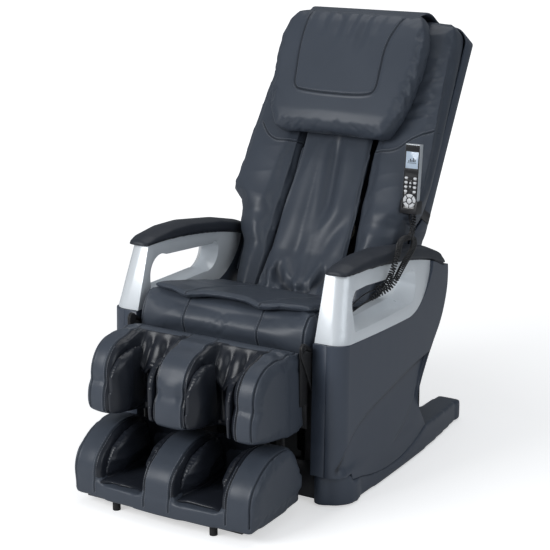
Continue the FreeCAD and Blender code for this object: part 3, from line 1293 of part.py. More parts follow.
def tube_along(wire, radius):
    """Round tube swept along a route."""
    start = wire.OrderedEdges[0]
    direction = start.tangentAt(start.FirstParameter)
    ring_wire = Part.Wire([Part.Circle(wire.OrderedVertexes[0].Point, direction, radius).toShape()])
    return wire.makePipeShell([ring_wire], True, False)


write_pair("skid", skid())
write_pair("outer_panel", outer_panel())
panel = inner_panel()
write("inner_panels", panel, mirrored(panel))
write_pair("arm_trim", trim())
write_pair("arm_pad", arm_pad())
write("base_frame", *base_frame())
write("bottom_tray", bottom_tray())
write("rear_cover", rear_cover())
write("power_inlet", *power_inlet())
write("power_switch", power_switch())
write("air_pump", air_pump())
write("control_box", control_box())
write("floor_glides", *floor_glides())
recline_motor, recline_rod = actuator(RECLINE_BASE, RECLINE_LUG, ACT_X, RECLINE_BODY, RECLINE_ROD_START)
write("recline_motor", recline_motor)
write("recline_rod", recline_rod)
leg_motor, leg_rod = actuator(LEG_BASE, LEG_LUG, -ACT_X, LEG_BODY, LEG_ROD_START)
write("legrest_motor", leg_motor)
write("legrest_rod", leg_rod)
write("seat_cushion", seat_cushion())
write("seat_cover", seat_cover())
write("back_frame", *back_frame())
write("back_shell", back_shell())
bolster = wing()
write("back_wing_left", lean_back(bolster).cut(handset_room()).cut(holder_stem(STEM_SLIT)))
write("back_wing_right", lean_back(mirrored(bolster)))
write("back_cover", back_cover())
write("pillow", pillow())
write("pillow_flap", pillow_flap())
write("travel_motor", travel_motor())
write("lead_screw", lead_screw())
write("carriage", carriage())
write("massage_head", massage_head())
write("upper_rollers", rollers(1))
write("lower_rollers", rollers(-1))
write("legrest_frame", *legrest_frame())
write("calf_pad", *calf_pad())
write("calf_linings", *calf_linings())
write("foot_frame", *foot_frame())
write("foot_pad", *foot_pad())
write("foot_linings", *foot_linings())
write("foot_glides", *foot_glides())
write("handset_body", handset_body())
write("handset_screen", handset_screen())
for key_name, key_shape in keys().items():
    write(key_name, key_shape)
write("handset_holder", handset_holder())
write("cord_socket", cord_socket())
main_cord = curly_cord(main_route(), 2 * CORD_WIRE, MAIN_END, MAIN_CURLS)
tail_cord = curly_cord(tail_route(), TAIL_START, TAIL_END, TAIL_CURLS)
write("handset_cord", main_cord)
write("handset_tail_cord", tail_cord)
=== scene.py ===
import math

import bmesh
import bpy
import numpy as np
from mathutils import Matrix, Vector, noise
from mathutils.bvhtree import BVHTree


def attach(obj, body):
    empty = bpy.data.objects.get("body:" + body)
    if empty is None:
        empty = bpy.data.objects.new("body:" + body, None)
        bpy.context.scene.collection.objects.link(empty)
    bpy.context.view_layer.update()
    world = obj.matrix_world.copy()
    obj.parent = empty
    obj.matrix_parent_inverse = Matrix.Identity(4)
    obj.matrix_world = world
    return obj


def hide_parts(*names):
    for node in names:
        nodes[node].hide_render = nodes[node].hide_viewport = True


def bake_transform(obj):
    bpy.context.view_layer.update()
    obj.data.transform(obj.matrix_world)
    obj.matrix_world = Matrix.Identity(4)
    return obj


# Home massage chair: leather seat, back and leg rest between two moulded arm housings on skids.
# Metres. Z is up, the chair faces -Y, and +X is the left-hand side of a person sitting in it.
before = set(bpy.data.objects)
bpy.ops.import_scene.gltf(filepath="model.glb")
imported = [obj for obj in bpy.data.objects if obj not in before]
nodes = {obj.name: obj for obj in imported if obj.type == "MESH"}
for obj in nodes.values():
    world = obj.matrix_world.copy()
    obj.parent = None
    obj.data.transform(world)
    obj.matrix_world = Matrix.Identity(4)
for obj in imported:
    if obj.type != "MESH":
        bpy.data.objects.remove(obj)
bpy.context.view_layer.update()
scene = bpy.context.scene
scene.view_settings.view_transform = "Standard"


# Camera
# The photograph was taken a little above seat height, from the sitter's left of straight ahead.
VIEW_TURN = math.radians(30.7)
VIEW_RISE = math.radians(15.5)
VIEW_DISTANCE = 4.48
VIEW_TARGET = Vector((0.0, -0.1, 0.55))
SENSOR = 36.0
LENS = 100.7

towards_camera = Vector((math.sin(VIEW_TURN) * math.cos(VIEW_RISE),
                         -math.cos(VIEW_TURN) * math.cos(VIEW_RISE), math.sin(VIEW_RISE)))
camera = bpy.data.objects.new("camera", bpy.data.cameras.new("camera"))
camera.data.sensor_width = SENSOR
camera.data.lens = LENS
camera.location = VIEW_TARGET + towards_camera * VIEW_DISTANCE
camera.rotation_mode = "QUATERNION"
camera.rotation_quaternion = (-towards_camera).to_track_quat("-Z", "Y")
scene.collection.objects.link(camera)
scene.camera = camera


# Handset cords
# Two black cords join the handset to the arm: one is curly all the way, the other has straight
# tails. Their jackets are extruded rubber, wound hot on a mandrel so that they keep their curls.
CORD_WIRE = 0.0042
CURL_WIDTH = 0.018
CURL_RAMP = 0.012
CURL_STEPS = 14              # points on each curl
CURL_ASIDE = Vector((0.3, 1.0, 0.2))         # a direction that no route follows
ROUTE_STEPS = 8              # points on each span of a smooth line
CORD_SIDES = 2               # resolution of the round section
MAIN_CURLS = 60
TAIL_CURLS = 39
MAIN_END = 0.165             # straight length inside the arm
TAIL_START = 0.130
TAIL_END = 0.120
MAIN_ROUTE = [(0.314, 0.16694, 0.72073), (0.314, 0.16362, 0.68689), (0.319, 0.148, 0.660),
              (0.331, 0.097, 0.660), (0.348, 0.038, 0.675), (0.366, -0.028, 0.683),
              (0.390, -0.086, 0.675), (0.400, -0.122, 0.650), (0.394, -0.136, 0.618),
              (0.377, -0.124, 0.584), (0.352, -0.140, 0.569), (0.338, -0.186, 0.565),
              (0.336, -0.240, 0.553), (0.338, -0.284, 0.545), (0.338, -0.312, 0.545)]
TAIL_ROUTE = [(0.299, 0.16694, 0.72073), (0.299, 0.16557, 0.70680), (0.330, 0.116, 0.690),
              (0.376, 0.046, 0.667), (0.391, 0.004, 0.657), (0.399, -0.050, 0.642),
              (0.405, -0.104, 0.620), (0.406, -0.139, 0.596), (0.389, -0.154, 0.574),
              (0.364, -0.178, 0.560), (0.352, -0.216, 0.547), (0.338, -0.284, 0.529),
              (0.338, -0.312, 0.529)]


def link(name, mesh):
    """A new object at the origin with this mesh."""
    piece = bpy.data.objects.new(name, mesh)
    scene.collection.objects.link(piece)
    return piece


def spline(points, order, kind="NURBS"):
    """A curve of one open spline through or near the given points."""
    curve = bpy.data.curves.new("line", "CURVE")
    curve.dimensions = "3D"
    curve.resolution_u = ROUTE_STEPS
    line = curve.splines.new(kind)
    line.points.add(len(points) - 1)
    for slot, point in zip(line.points, points):
        slot.co = (*point, 1.0)
    if kind == "NURBS":
        line.order_u = order
        line.use_endpoint_u = True
    return curve


def curve_mesh(curve):
    """The mesh that a curve shows."""
    holder = link("line", curve)
    mesh = bpy.data.meshes.new_from_object(holder.evaluated_get(bpy.context.evaluated_depsgraph_get()))
    bpy.data.objects.remove(holder)
    bpy.data.curves.remove(curve)
    return mesh


def smooth_line(points):
    """Points read from the smooth spline that has these as its control points."""
    return [v.co.copy() for v in curve_mesh(spline(points, 3)).vertices]


def tube_mesh(points, radius):
    """Round tube along a line of points."""
    curve = spline(points, 2, "POLY")
    curve.bevel_depth = radius
    curve.bevel_resolution = CORD_SIDES
    curve.use_fill_caps = True
    return curve_mesh(curve)


def place_along(columns, reach, at):
    """The coordinates at a distance along a line, from its columns and its distances."""
    return [np.interp(at, reach, column) for column in columns]


def curls(line, first, last, count):
    """Points of a helix round a line, which starts and ends on its middle."""
    reach = [0.0]
    for a, b in zip(line, line[1:]):
        reach.append(reach[-1] + (b - a).length)
    last = reach[-1] - last
    step = (last - first) / count / CURL_STEPS
    columns = np.array([list(p) for p in line]).T
    wound = []
    across = None
    for i in range(int(reach[-1] / step) + 1):
        at = i * step
        here, ahead, behind = (Vector(place_along(columns, reach, spot))
                               for spot in (at, at + step, at - step))
        forward = (ahead - behind).normalized()
        if across is None:
            across = forward.cross(CURL_ASIDE)
        across = (across - forward * across.dot(forward)).normalized()
        size = min(1.0, min(max(0.0, at - first), max(0.0, last - at)) / CURL_RAMP)
        size = size * size * (3.0 - 2.0 * size) * (CURL_WIDTH - CORD_WIRE) / 2
        turn = 2 * math.pi * (at - first) / (last - first) * count
        wound.append(here + (across * math.cos(turn) + forward.cross(across) * math.sin(turn)) * size)
    wound.append(line[-1])
    return wound


def plain_material(name):
    """An empty node material: its tree, its shader and its object coordinates."""
    material = bpy.data.materials.new(name)
    material.use_nodes = True
    tree = material.node_tree
    place = tree.nodes.new("ShaderNodeTexCoord").outputs["Object"]
    return material, tree, tree.nodes["Principled BSDF"], place


def feed(tree, socket, value):
    """Give a socket a link or a plain value."""
    if isinstance(value, bpy.types.NodeSocket):
        tree.links.new(value, socket)
    else:
        socket.default_value = value


def add(tree, kind, **inputs):
    """A new node with values or links for its named inputs."""
    node = tree.nodes.new(kind)
    for name, value in inputs.items():
        feed(tree, node.inputs[name.replace("_", " ")], value)
    return node


def worked_out(tree, operation, *values):
    """The result of a sum on values or links."""
    node = tree.nodes.new("ShaderNodeMath")
    node.operation = operation
    for socket, value in zip(node.inputs, values):
        feed(tree, socket, value)
    return node.outputs[0]


def mixed(tree, factor, first, second):
    """One colour passing into another, each a value or a link."""
    mix = tree.nodes.new("ShaderNodeMix")
    mix.data_type = "RGBA"
    feed(tree, mix.inputs["Factor"], factor)
    feed(tree, mix.inputs["A"], first)
    feed(tree, mix.inputs["B"], second)
    return mix.outputs["Result"]


def tone(tree, factor, dark, light):
    """Colour between two tones, by a factor."""
    return mixed(tree, factor, (*dark, 1.0), (*light, 1.0))


def spread(tree, value, low, high):
    """A value from 0 to 1 brought to a range."""
    node = add(tree, "ShaderNodeMapRange", Value=value, To_Min=low, To_Max=high)
    return node.outputs["Result"]


def shaped_group(name, sockets):
    """An empty shader group with an in point, a size and the given outputs."""
    group = bpy.data.node_groups.new(name, "ShaderNodeTree")
    group.interface.new_socket("Place", in_out="INPUT", socket_type="NodeSocketVector")
    group.interface.new_socket("Size", in_out="INPUT", socket_type="NodeSocketFloat")
    for socket in sockets:
        group.interface.new_socket(socket, in_out="OUTPUT", socket_type="NodeSocketFloat")
    return group, group.nodes.new("NodeGroupInput"), group.nodes.new("NodeGroupOutput")


def make_moulded_group():
    """Faint pitting of moulded plastic, and slow changes of gloss over a broad face."""
    group, given, out = shaped_group("moulded_surface", ("Pits", "Gloss"))
    fineness = worked_out(group, "DIVIDE", 1.0, given.outputs["Size"])
    pits = add(group, "ShaderNodeTexNoise", Vector=given.outputs["Place"], Scale=fineness, Detail=2.0)
    broad = add(group, "ShaderNodeTexNoise", Vector=given.outputs["Place"], Scale=9.0, Detail=3.0)
    group.links.new(pits.outputs["Fac"], out.inputs["Pits"])
    group.links.new(broad.outputs["Fac"], out.inputs["Gloss"])
    return group


MOULDED = make_moulded_group()
TUCK_PAINTED_SHADE = 0.2             # painted shade: the colour in a tuck falls to this part of the dark tone
GLOSS_SPREAD = 0.05


def lay(tree, group, place, size):
    """Place a surface group in a material, with the size of its marks."""
    surface = tree.nodes.new("ShaderNodeGroup")
    surface.node_tree = group
    tree.links.new(place, surface.inputs["Place"])
    surface.inputs["Size"].default_value = size
    return surface.outputs


def with_painted_shade(tree, colour, dark, left):
    """A colour darkened by painted shade along seams, creases and folds, to a part of its dark tone, and how
    far it falls.
    """
    painted_shade = tree.nodes.new("ShaderNodeAttribute")
    painted_shade.attribute_name = "painted_shade"
    darkest = (*[part * left for part in dark], 1.0)
    return mixed(tree, painted_shade.outputs["Fac"], colour, darkest), painted_shade.outputs["Fac"]


def moulded_material(name, dark, light, rough, pit=0.0008, depth=0.00004, metallic=0.0, coat=0.0):
    """Moulded, painted or cast surface: two near tones, fine pits, uneven gloss and painted shade in its
    tucks.
    """
    material, tree, shader, place = plain_material(name)
    surface = lay(tree, MOULDED, place, pit)
    # painted shade: the colour darkens in the tucks that the skin marks
    colour = with_painted_shade(tree, tone(tree, surface["Gloss"], dark, light), dark, TUCK_PAINTED_SHADE)[0]
    gloss = spread(tree, surface["Gloss"], rough - GLOSS_SPREAD, rough + GLOSS_SPREAD)
    tree.links.new(colour, shader.inputs["Base Color"])
    tree.links.new(gloss, shader.inputs["Roughness"])
    bump = add(tree, "ShaderNodeBump", Strength=0.4, Distance=depth, Height=surface["Pits"])
    tree.links.new(bump.outputs["Normal"], shader.inputs["Normal"])
    shader.inputs["Metallic"].default_value = metallic
    shader.inputs["Coat Weight"].default_value = coat
    shader.inputs["Coat Roughness"].default_value = 0.12
    return material


def dress(piece, material):
    """Give a piece one material and smooth shading."""
    piece.data.materials.clear()
    piece.data.materials.append(material)
    piece.data.shade_smooth()


def belongs(piece, body, slot, *stands_for):
    """Tie a piece to the body that carries it and to the solids that it stands for."""
    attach(piece, body)
    if stands_for:
        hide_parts(*stands_for)


cord_rubber = moulded_material("cord_rubber", (0.010, 0.010, 0.011), (0.020, 0.020, 0.022), 0.34, pit=0.0012)


def curly_cord(name, route, first, last, count, node):
    """One curly cord as a tube."""
    wound = curls(smooth_line(route), first, last, count)
    cord = link(name, tube_mesh(wound, CORD_WIRE / 2))
    dress(cord, cord_rubber)
    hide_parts(node)
    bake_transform(cord)


curly_cord("curly_cord", MAIN_ROUTE, 0.0, MAIN_END, MAIN_CURLS, "handset_cord")
curly_cord("tail_cord", TAIL_ROUTE, TAIL_START, TAIL_END, TAIL_CURLS, "handset_tail_cord")


# Skids and glides
# Each arm stands on a long skid, injection moulded in satin graphite plastic, with soft edges and
# a raised step at its front. Dull rubber glides are pushed into its underside.
GRAPHITE_DARK = (0.047, 0.059, 0.083)
GRAPHITE_LIGHT = (0.056, 0.070, 0.097)
SKID_VOXEL = 0.005
SKID_SOFTENING = 14
GLIDE_EDGE = 0.001
SHARP = math.radians(32)     # edges sharper than this are eased
WELD = 0.00002

graphite = moulded_material("graphite_plastic", GRAPHITE_DARK, GRAPHITE_LIGHT, 0.40, depth=0.00005, coat=0.05)
rubber = moulded_material("glide_rubber", (0.014, 0.014, 0.015), (0.022, 0.022, 0.023), 0.75, depth=0.0001)


def copy_solid(name, source):
    """A new piece with the merged skin of a solid."""
    shape = bmesh.new()
    shape.from_mesh(nodes[source].data)
    bmesh.ops.remove_doubles(shape, verts=shape.verts, dist=WELD)
    mesh = bpy.data.meshes.new(name)
    shape.to_mesh(mesh)
    shape.free()
    return link(name, mesh)


def settle(piece):
    """Make the mesh what its modifiers show."""
    graph = bpy.context.evaluated_depsgraph_get()
    mesh = bpy.data.meshes.new_from_object(piece.evaluated_get(graph))
    piece.modifiers.clear()
    piece.data = mesh


def even_skin(piece, voxel, smooth):
    """Remake a skin with even faces, and soften what that leaves."""
    remesh = piece.modifiers.new("even", "REMESH")
    remesh.mode = "VOXEL"
    remesh.voxel_size = voxel
    soften = piece.modifiers.new("soften", "SMOOTH")
    soften.factor = 0.5
    soften.iterations = smooth
    settle(piece)


def finish_solid(name, material, edge):
    """Dress a rigid solid: its triangles are welded and its edges are eased."""
    solid = nodes[name]
    dress(solid, material)
    weld = solid.modifiers.new("weld", "WELD")
    weld.merge_threshold = WELD
    ease = solid.modifiers.new("eased_edges", "BEVEL")
    ease.width = edge
    ease.segments = 2
    ease.limit_method = "ANGLE"
    ease.angle_limit = SHARP
    ease.harden_normals = True


for side in ("left", "right"):
    skid = copy_solid("arm_skid_" + side, "skid_" + side)
    even_skin(skid, SKID_VOXEL, SKID_SOFTENING)
    dress(skid, graphite)
    belongs(skid, "root", "graphite", "skid_" + side)
finish_solid("floor_glides", rubber, GLIDE_EDGE)


# Arm panels
# Two moulded shells close each arm. The outer one has a soft crease that sweeps up from its front
# foot to its rear edge, with a fainter line below it, and under both the moulding is tucked in.
# Painted shade darkens the foot of each ledge, where shade falls.
PANEL_EDGE = 0.003
INNER_EDGE = 0.0006
PANEL_GRID = 0.010
CREASE = [(-0.392, 0.110), (-0.372, 0.155), (-0.330, 0.205), (-0.245, 0.243), (-0.120, 0.268), (0.010, 0.290),
          (0.100, 0.300), (0.200, 0.302)]
CREASE_STEP = 0.011
CREASE_BLEND = 0.008         # half the width of the rounded ledge over the tuck
CREASE_FADE = 0.160          # the tuck comes back out over this height
# how dark the painted shade is at the foot of the crease's ledge
CREASE_PAINTED_SHADE = 0.95
FAINT_STEP = 0.004
FAINT_BLEND = 0.005
FAINT_FADE = 0.090
# how dark the painted shade is at the foot of the fainter ledge
FAINT_PAINTED_SHADE = 0.55
CREASE_LOW = 0.095           # below this height the tuck dies out
CREASE_REACH = (0.022, 0.012)                # the wall is cut finer within these distances of a crease
PANEL_WALL_X = 0.360         # the outer wall lies outside this distance from the middle
FAINT_LINE = [(-0.330, 0.062), (-0.200, 0.078), (-0.080, 0.105), (0.010, 0.150), (0.060, 0.200)]
PANEL_SPLIT = 0.332          # plane where the two shells of an arm meet


def open_shape(piece):
    """A bmesh of a piece's mesh."""
    shape = bmesh.new()
    shape.from_mesh(piece.data)
    return shape


def close_shape(shape, piece):
    """Write a bmesh back to its piece."""
    shape.normal_update()
    shape.to_mesh(piece.data)
    shape.free()
    piece.data.update()


def ease_edges(piece, width, segments=3, kept_x=None):
    """Join flat triangles to whole faces, then round every sharp edge.

    Edges in the plane across x that kept_x names stay as they are.
    """
    shape = open_shape(piece)
    bmesh.ops.dissolve_limit(shape, angle_limit=math.radians(0.4), verts=shape.verts, edges=shape.edges)
    sharp = [e for e in shape.edges if len(e.link_faces) == 2 and e.calc_face_angle(0.0) > SHARP
             and (kept_x is None or any(abs(abs(v.co.x) - kept_x) > 0.0005 for v in e.verts))]
    bmesh.ops.bevel(shape, geom=sharp, offset=width, offset_type="OFFSET", segments=segments, profile=0.5,
                    affect="EDGES", clamp_overlap=True, material=-1)
    close_shape(shape, piece)


def cut_grid(piece, step):
    """Divide a skin along even level and upright planes, so that it can be shaped."""
    shape = open_shape(piece)
    for axis in (1, 2):
        low = min(v.co[axis] for v in shape.verts)
        high = max(v.co[axis] for v in shape.verts)
        for i in range(1, int((high - low) / step) + 1):
            point = Vector((0, 0, 0))
            point[axis] = low + i * step
            across = Vector((0, 0, 0))
            across[axis] = 1.0
            bmesh.ops.bisect_plane(shape, geom=shape.verts[:] + shape.edges[:] + shape.faces[:], dist=1e-6,
                                   plane_co=point, plane_no=across)
    close_shape(shape, piece)


def measured(piece):
    """Points and normals of a piece as arrays."""
    count = len(piece.data.vertices)
    points = np.empty(count * 3, np.float32)
    normals = np.empty(count * 3, np.float32)
    piece.data.vertices.foreach_get("co", points)
    piece.data.vertices.foreach_get("normal", normals)
    return points.reshape(-1, 3).astype(float), normals.reshape(-1, 3).astype(float)


def set_points(piece, points):
    """Move the points of a piece."""
    piece.data.vertices.foreach_set("co", points.astype(np.float32).ravel())
    piece.data.update()


def line_gap(flat, line):
    """Distance and side of flat points from a line; the side is positive on its right."""
    gap = np.full(len(flat), np.inf)
    side = np.ones(len(flat))
    for a, b in zip(line, line[1:]):
        a, b = np.array(a[:2]), np.array(b[:2])
        run = b - a
        share = np.clip(((flat - a) @ run) / (run @ run), 0.0, 1.0)
        away = flat - a - share[:, None] * run
        here = np.linalg.norm(away, axis=1)
        nearer = here < gap
        gap = np.where(nearer, here, gap)
        side = np.where(nearer, np.sign(away[:, 0] * run[1] - away[:, 1] * run[0]), side)
    return gap, side


def soft_step(value):
    """From 0 to 1 with a soft start and end."""
    value = np.clip(value, 0.0, 1.0)
    return value * value * (3.0 - 2.0 * value)


def flat_line(points):
    """A smooth line on a flat drawing, from a few of its points."""
    return [tuple(p)[:2] for p in smooth_line([(*point, 0.0) for point in points])]


def refine(piece, near):
    """Divide the edges whose ends both lie in a chosen part of a skin."""
    shape = open_shape(piece)
    shape.verts.ensure_lookup_table()
    edges = [e for e in shape.edges if near[e.verts[0].index] and near[e.verts[1].index]]
    bmesh.ops.subdivide_edges(shape, edges=edges, cuts=1, use_grid_fill=True)
    close_shape(shape, piece)


def paint_shade(piece, amount):
    """Add painted shade, kept on the skin's points, where shade falls in its seams, creases and folds."""
    painted_shade = piece.data.attributes.get("painted_shade") or piece.data.attributes.new("painted_shade", "FLOAT", "POINT")
    kept = np.zeros(len(piece.data.vertices), np.float32)
    painted_shade.data.foreach_get("value", kept)
    painted_shade.data.foreach_set("value", np.maximum(kept, amount).astype(np.float32))


def tucked(points, line, step, blend, fade, painted_shade_level):
    """How far a face lies tucked in below a rounded ledge, and how much painted shade darkens the ledge's
    foot.
    """
    gap, side = line_gap(points[:, 1:], line)
    below = np.where(side > 0, gap, -gap)
    depth = step * soft_step((below + blend) / (2.0 * blend)) * (1.0 - soft_step(below / fade))
    return depth, painted_shade_level * np.exp(-((below - 0.3 * blend) / blend) ** 2)


def crease_panel(panel, outward):
    """Tuck in the outer wall of the moulding below its crease, both its faces alike, and paint shade along
    each ledge's foot.
    """
    crease = flat_line(CREASE)
    faint = flat_line(FAINT_LINE)
    for reach in CREASE_REACH:
        points, normals = measured(panel)
        gap = np.minimum(line_gap(points[:, 1:], crease)[0], line_gap(points[:, 1:], faint)[0])
        refine(panel, (gap < reach) & (np.abs(normals[:, 0]) > 0.6) & (points[:, 0] * outward > PANEL_WALL_X))
    points, normals = measured(panel)
    facing = soft_step((np.abs(normals[:, 0]) - 0.3) / 0.4) * (points[:, 0] * outward > PANEL_WALL_X)
    facing *= soft_step((points[:, 2] - CREASE_LOW) / 0.03)
    tuck, painted_shade_level = tucked(points, crease, CREASE_STEP, CREASE_BLEND, CREASE_FADE, CREASE_PAINTED_SHADE)
    faint_tuck, faint_painted_shade = tucked(points, faint, FAINT_STEP, FAINT_BLEND, FAINT_FADE, FAINT_PAINTED_SHADE)
    points[:, 0] -= outward * (tuck + faint_tuck) * facing
    set_points(panel, points)
    # painted shade along both ledges
    paint_shade(panel, np.maximum(painted_shade_level, faint_painted_shade) * facing)


for side, outward in (("left", 1.0), ("right", -1.0)):
    panel = copy_solid("arm_panel_" + side, "outer_panel_" + side)
    ease_edges(panel, PANEL_EDGE, kept_x=PANEL_SPLIT)
    cut_grid(panel, PANEL_GRID)
    crease_panel(panel, outward)
    dress(panel, graphite)
    belongs(panel, "root", "graphite", "outer_panel_" + side)
finish_solid("inner_panels", graphite, INNER_EDGE)


# Silver trims
# One moulding makes the front post of each arm and the frame round its window. It is sprayed with
# satin silver lacquer under a clear coat.
SILVER_DARK = (0.76, 0.80, 0.835)
SILVER_LIGHT = (0.82, 0.855, 0.885)
TRIM_EDGE = 0.0025

silver = moulded_material("silver_lacquer", SILVER_DARK, SILVER_LIGHT, 0.30, pit=0.0004, depth=0.00002,
                          metallic=0.12, coat=0.5)
for side in ("left", "right"):
    trim = copy_solid("silver_trim_" + side, "arm_trim_" + side)
    ease_edges(trim, TRIM_EDGE)
    dress(trim, silver)
    belongs(trim, "root", "silver", "arm_trim_" + side)


# Arm pads
# Each arm rest is a foamed pad with a soft skin. A parting line runs along its sides at half
# height, and its nose is rounded over the top of the silver post.
PAD_VOXEL = 0.004
PAD_SOFTENING = 6
PAD_PARTING = [(-0.330, 0.652), (-0.200, 0.647), (-0.050, 0.636), (0.100, 0.606), (0.220, 0.569),
               (0.300, 0.544)]
SEAM_PAINTED_SHADE = 0.18            # painted shade: the colour in a seam falls to this part of the dark tone
SEAM_DULL = 0.3              # a seam is rougher by this
LEATHER_SPREAD = 0.06
LIP_PLACE = 2.1              # a lip lies this many widths from its line
PAINTED_SHADE_WIDTH = 0.55             # the width of a line's painted shade, as a share of its width
PAD_DARK = (0.027, 0.031, 0.040)
PAD_LIGHT = (0.034, 0.039, 0.050)


def subdivide(piece):
    """One smooth subdivision."""
    finer = piece.modifiers.new("finer", "SUBSURF")
    finer.levels = 1
    finer.render_levels = 1
    settle(piece)


def make_leather_group():
    """Fine pebbled grain of leather, the slow change of tone over a hide, and its slack rises."""
    group, given, out = shaped_group("leather_surface", ("Grain", "Tone", "Slack"))
    fineness = worked_out(group, "DIVIDE", 1.0, given.outputs["Size"])
    pebble = add(group, "ShaderNodeTexVoronoi", Vector=given.outputs["Place"], Scale=fineness)
    fine = add(group, "ShaderNodeTexNoise", Vector=given.outputs["Place"], Scale=fineness, Detail=3.0)
    grain = worked_out(group, "MULTIPLY_ADD", pebble.outputs["Distance"], -0.7, fine.outputs["Fac"])
    slow = add(group, "ShaderNodeTexNoise", Vector=given.outputs["Place"], Scale=7.0, Detail=4.0,
               Roughness=0.6)
    loose = add(group, "ShaderNodeTexNoise", Vector=given.outputs["Place"], Scale=11.0, Detail=1.5,
                Roughness=0.4, Distortion=0.5)
    group.links.new(grain, out.inputs["Grain"])
    group.links.new(slow.outputs["Fac"], out.inputs["Tone"])
    group.links.new(loose.outputs["Fac"], out.inputs["Slack"])
    return group


LEATHER_SURFACE = make_leather_group()


def leather_material(name, dark, light, rough, grain=0.0011, depth=0.00012, coat=0.0, slack=0.0):
    """Leather: grain, slow tone, slack rises, and painted shade in the seams where the skin is drawn in,
    which are also duller.
    """
    material, tree, shader, place = plain_material(name)
    surface = lay(tree, LEATHER_SURFACE, place, grain)
    # painted shade along seams and folds darkens the colour, and the same mask dulls the gloss
    colour, painted_shade_mask = with_painted_shade(tree, tone(tree, surface["Tone"], dark, light), dark, SEAM_PAINTED_SHADE)
    gloss = spread(tree, surface["Tone"], rough - LEATHER_SPREAD, rough + LEATHER_SPREAD)
    tree.links.new(colour, shader.inputs["Base Color"])
    tree.links.new(worked_out(tree, "MULTIPLY_ADD", painted_shade_mask, SEAM_DULL, gloss), shader.inputs["Roughness"])
    rises = add(tree, "ShaderNodeBump", Strength=1.0, Distance=slack, Height=surface["Slack"])
    bump = add(tree, "ShaderNodeBump", Strength=0.5, Distance=depth, Height=surface["Grain"],
               Normal=rises.outputs["Normal"])
    tree.links.new(bump.outputs["Normal"], shader.inputs["Normal"])
    shader.inputs["Coat Weight"].default_value = coat
    shader.inputs["Coat Roughness"].default_value = 0.25
    shader.inputs["Specular IOR Level"].default_value = 0.32
    return material


pad_skin = leather_material("arm_pad_skin", PAD_DARK, PAD_LIGHT, 0.46, grain=0.0008, depth=0.00006)


def press(piece, flat, line, width, depth, facing=None, lip=0.0, painted_shade_level=0.0, fade=0.0):
    """Draw a line into a skin: it sinks along its normals, with a raised lip on each side.

    flat gives the two directions of the drawing, facing the side of the piece that is drawn on,
    painted_shade_level how much painted shade darkens the line, and fade the length over which it dies out at
    its ends.
    """
    points, normals = measured(piece)
    drawing = points @ np.array(flat).T
    gap = line_gap(drawing, line)[0]
    strength = np.ones(len(points))
    if facing is not None:
        strength *= soft_step((normals @ np.array(facing) - 0.15) / 0.3)
    if fade:
        start, end = np.array(line[0][:2]), np.array(line[-1][:2])
        run = end - start
        share = ((drawing - start) @ run) / (run @ run)
        length = np.linalg.norm(run)
        strength *= soft_step(share * length / fade) * soft_step((1.0 - share) * length / fade)
    move = -depth * np.exp(-(gap / width) ** 2) + lip * np.exp(-((gap - LIP_PLACE * width) / width) ** 2)
    set_points(piece, points + normals * (move * strength)[:, None])
    # painted shade along the line's groove
    if painted_shade_level:
        paint_shade(piece, painted_shade_level * strength * np.exp(-(gap / (PAINTED_SHADE_WIDTH * width)) ** 2))


def finish_pad(piece, material, body, slot, stands_for):
    """Dress a padded piece, and tie it to its body and to its solid."""
    dress(piece, material)
    belongs(piece, body, slot, stands_for)


SIDE_FLAT = ((0, 1, 0), (0, 0, 1))
for side in ("left", "right"):
    pad = copy_solid("arm_rest_" + side, "arm_pad_" + side)
    even_skin(pad, PAD_VOXEL, PAD_SOFTENING)
    # the parting line gets painted shade in its groove
    press(pad, SIDE_FLAT, flat_line(PAD_PARTING), width=0.0022, depth=0.0018, lip=0.0005, painted_shade_level=0.5)
    finish_pad(pad, pad_skin, "root", "pad", "arm_pad_" + side)


# Base
# Square steel tubes are welded to a frame between the arms and powder coated black. Sheets close
# it below and behind, and it carries the pump, the control box and the two actuators.
TUBE_EDGE = 0.0008
SHEET_EDGE = 0.0005
ROD_EDGE = 0.0003
CAST_EDGE = 0.001

steel = moulded_material("powder_coat", (0.012, 0.012, 0.013), (0.018, 0.018, 0.020), 0.55, pit=0.0006,
                         depth=0.0001)
sheet_paint = moulded_material("sheet_paint", (0.016, 0.016, 0.018), (0.024, 0.024, 0.027), 0.5, pit=0.0006)
black_plastic = moulded_material("black_plastic", (0.014, 0.014, 0.016), (0.022, 0.022, 0.025), 0.45)
bright_steel = moulded_material("bright_steel", (0.50, 0.51, 0.53), (0.60, 0.61, 0.63), 0.24, pit=0.0003,
                                depth=0.00001, metallic=1.0)
cast_metal = moulded_material("cast_metal", (0.36, 0.37, 0.39), (0.46, 0.47, 0.49), 0.42, pit=0.0010,
                              depth=0.0001, metallic=1.0)
for name in ("base_frame", "legrest_frame", "foot_frame", "carriage", "massage_head", "back_frame"):
    finish_solid(name, steel, TUBE_EDGE)
for name in ("bottom_tray", "rear_cover"):
    finish_solid(name, sheet_paint, SHEET_EDGE)
for name in ("power_inlet", "power_switch", "control_box", "air_pump", "recline_motor", "legrest_motor",
             "handset_holder", "cord_socket"):
    finish_solid(name, black_plastic, SHEET_EDGE)
for name in ("recline_rod", "legrest_rod", "lead_screw"):
    finish_solid(name, bright_steel, ROD_EDGE)
finish_solid("travel_motor", cast_metal, CAST_EDGE)
finish_solid("foot_glides", rubber, GLIDE_EDGE)
finish_solid("back_shell", graphite, CAST_EDGE)


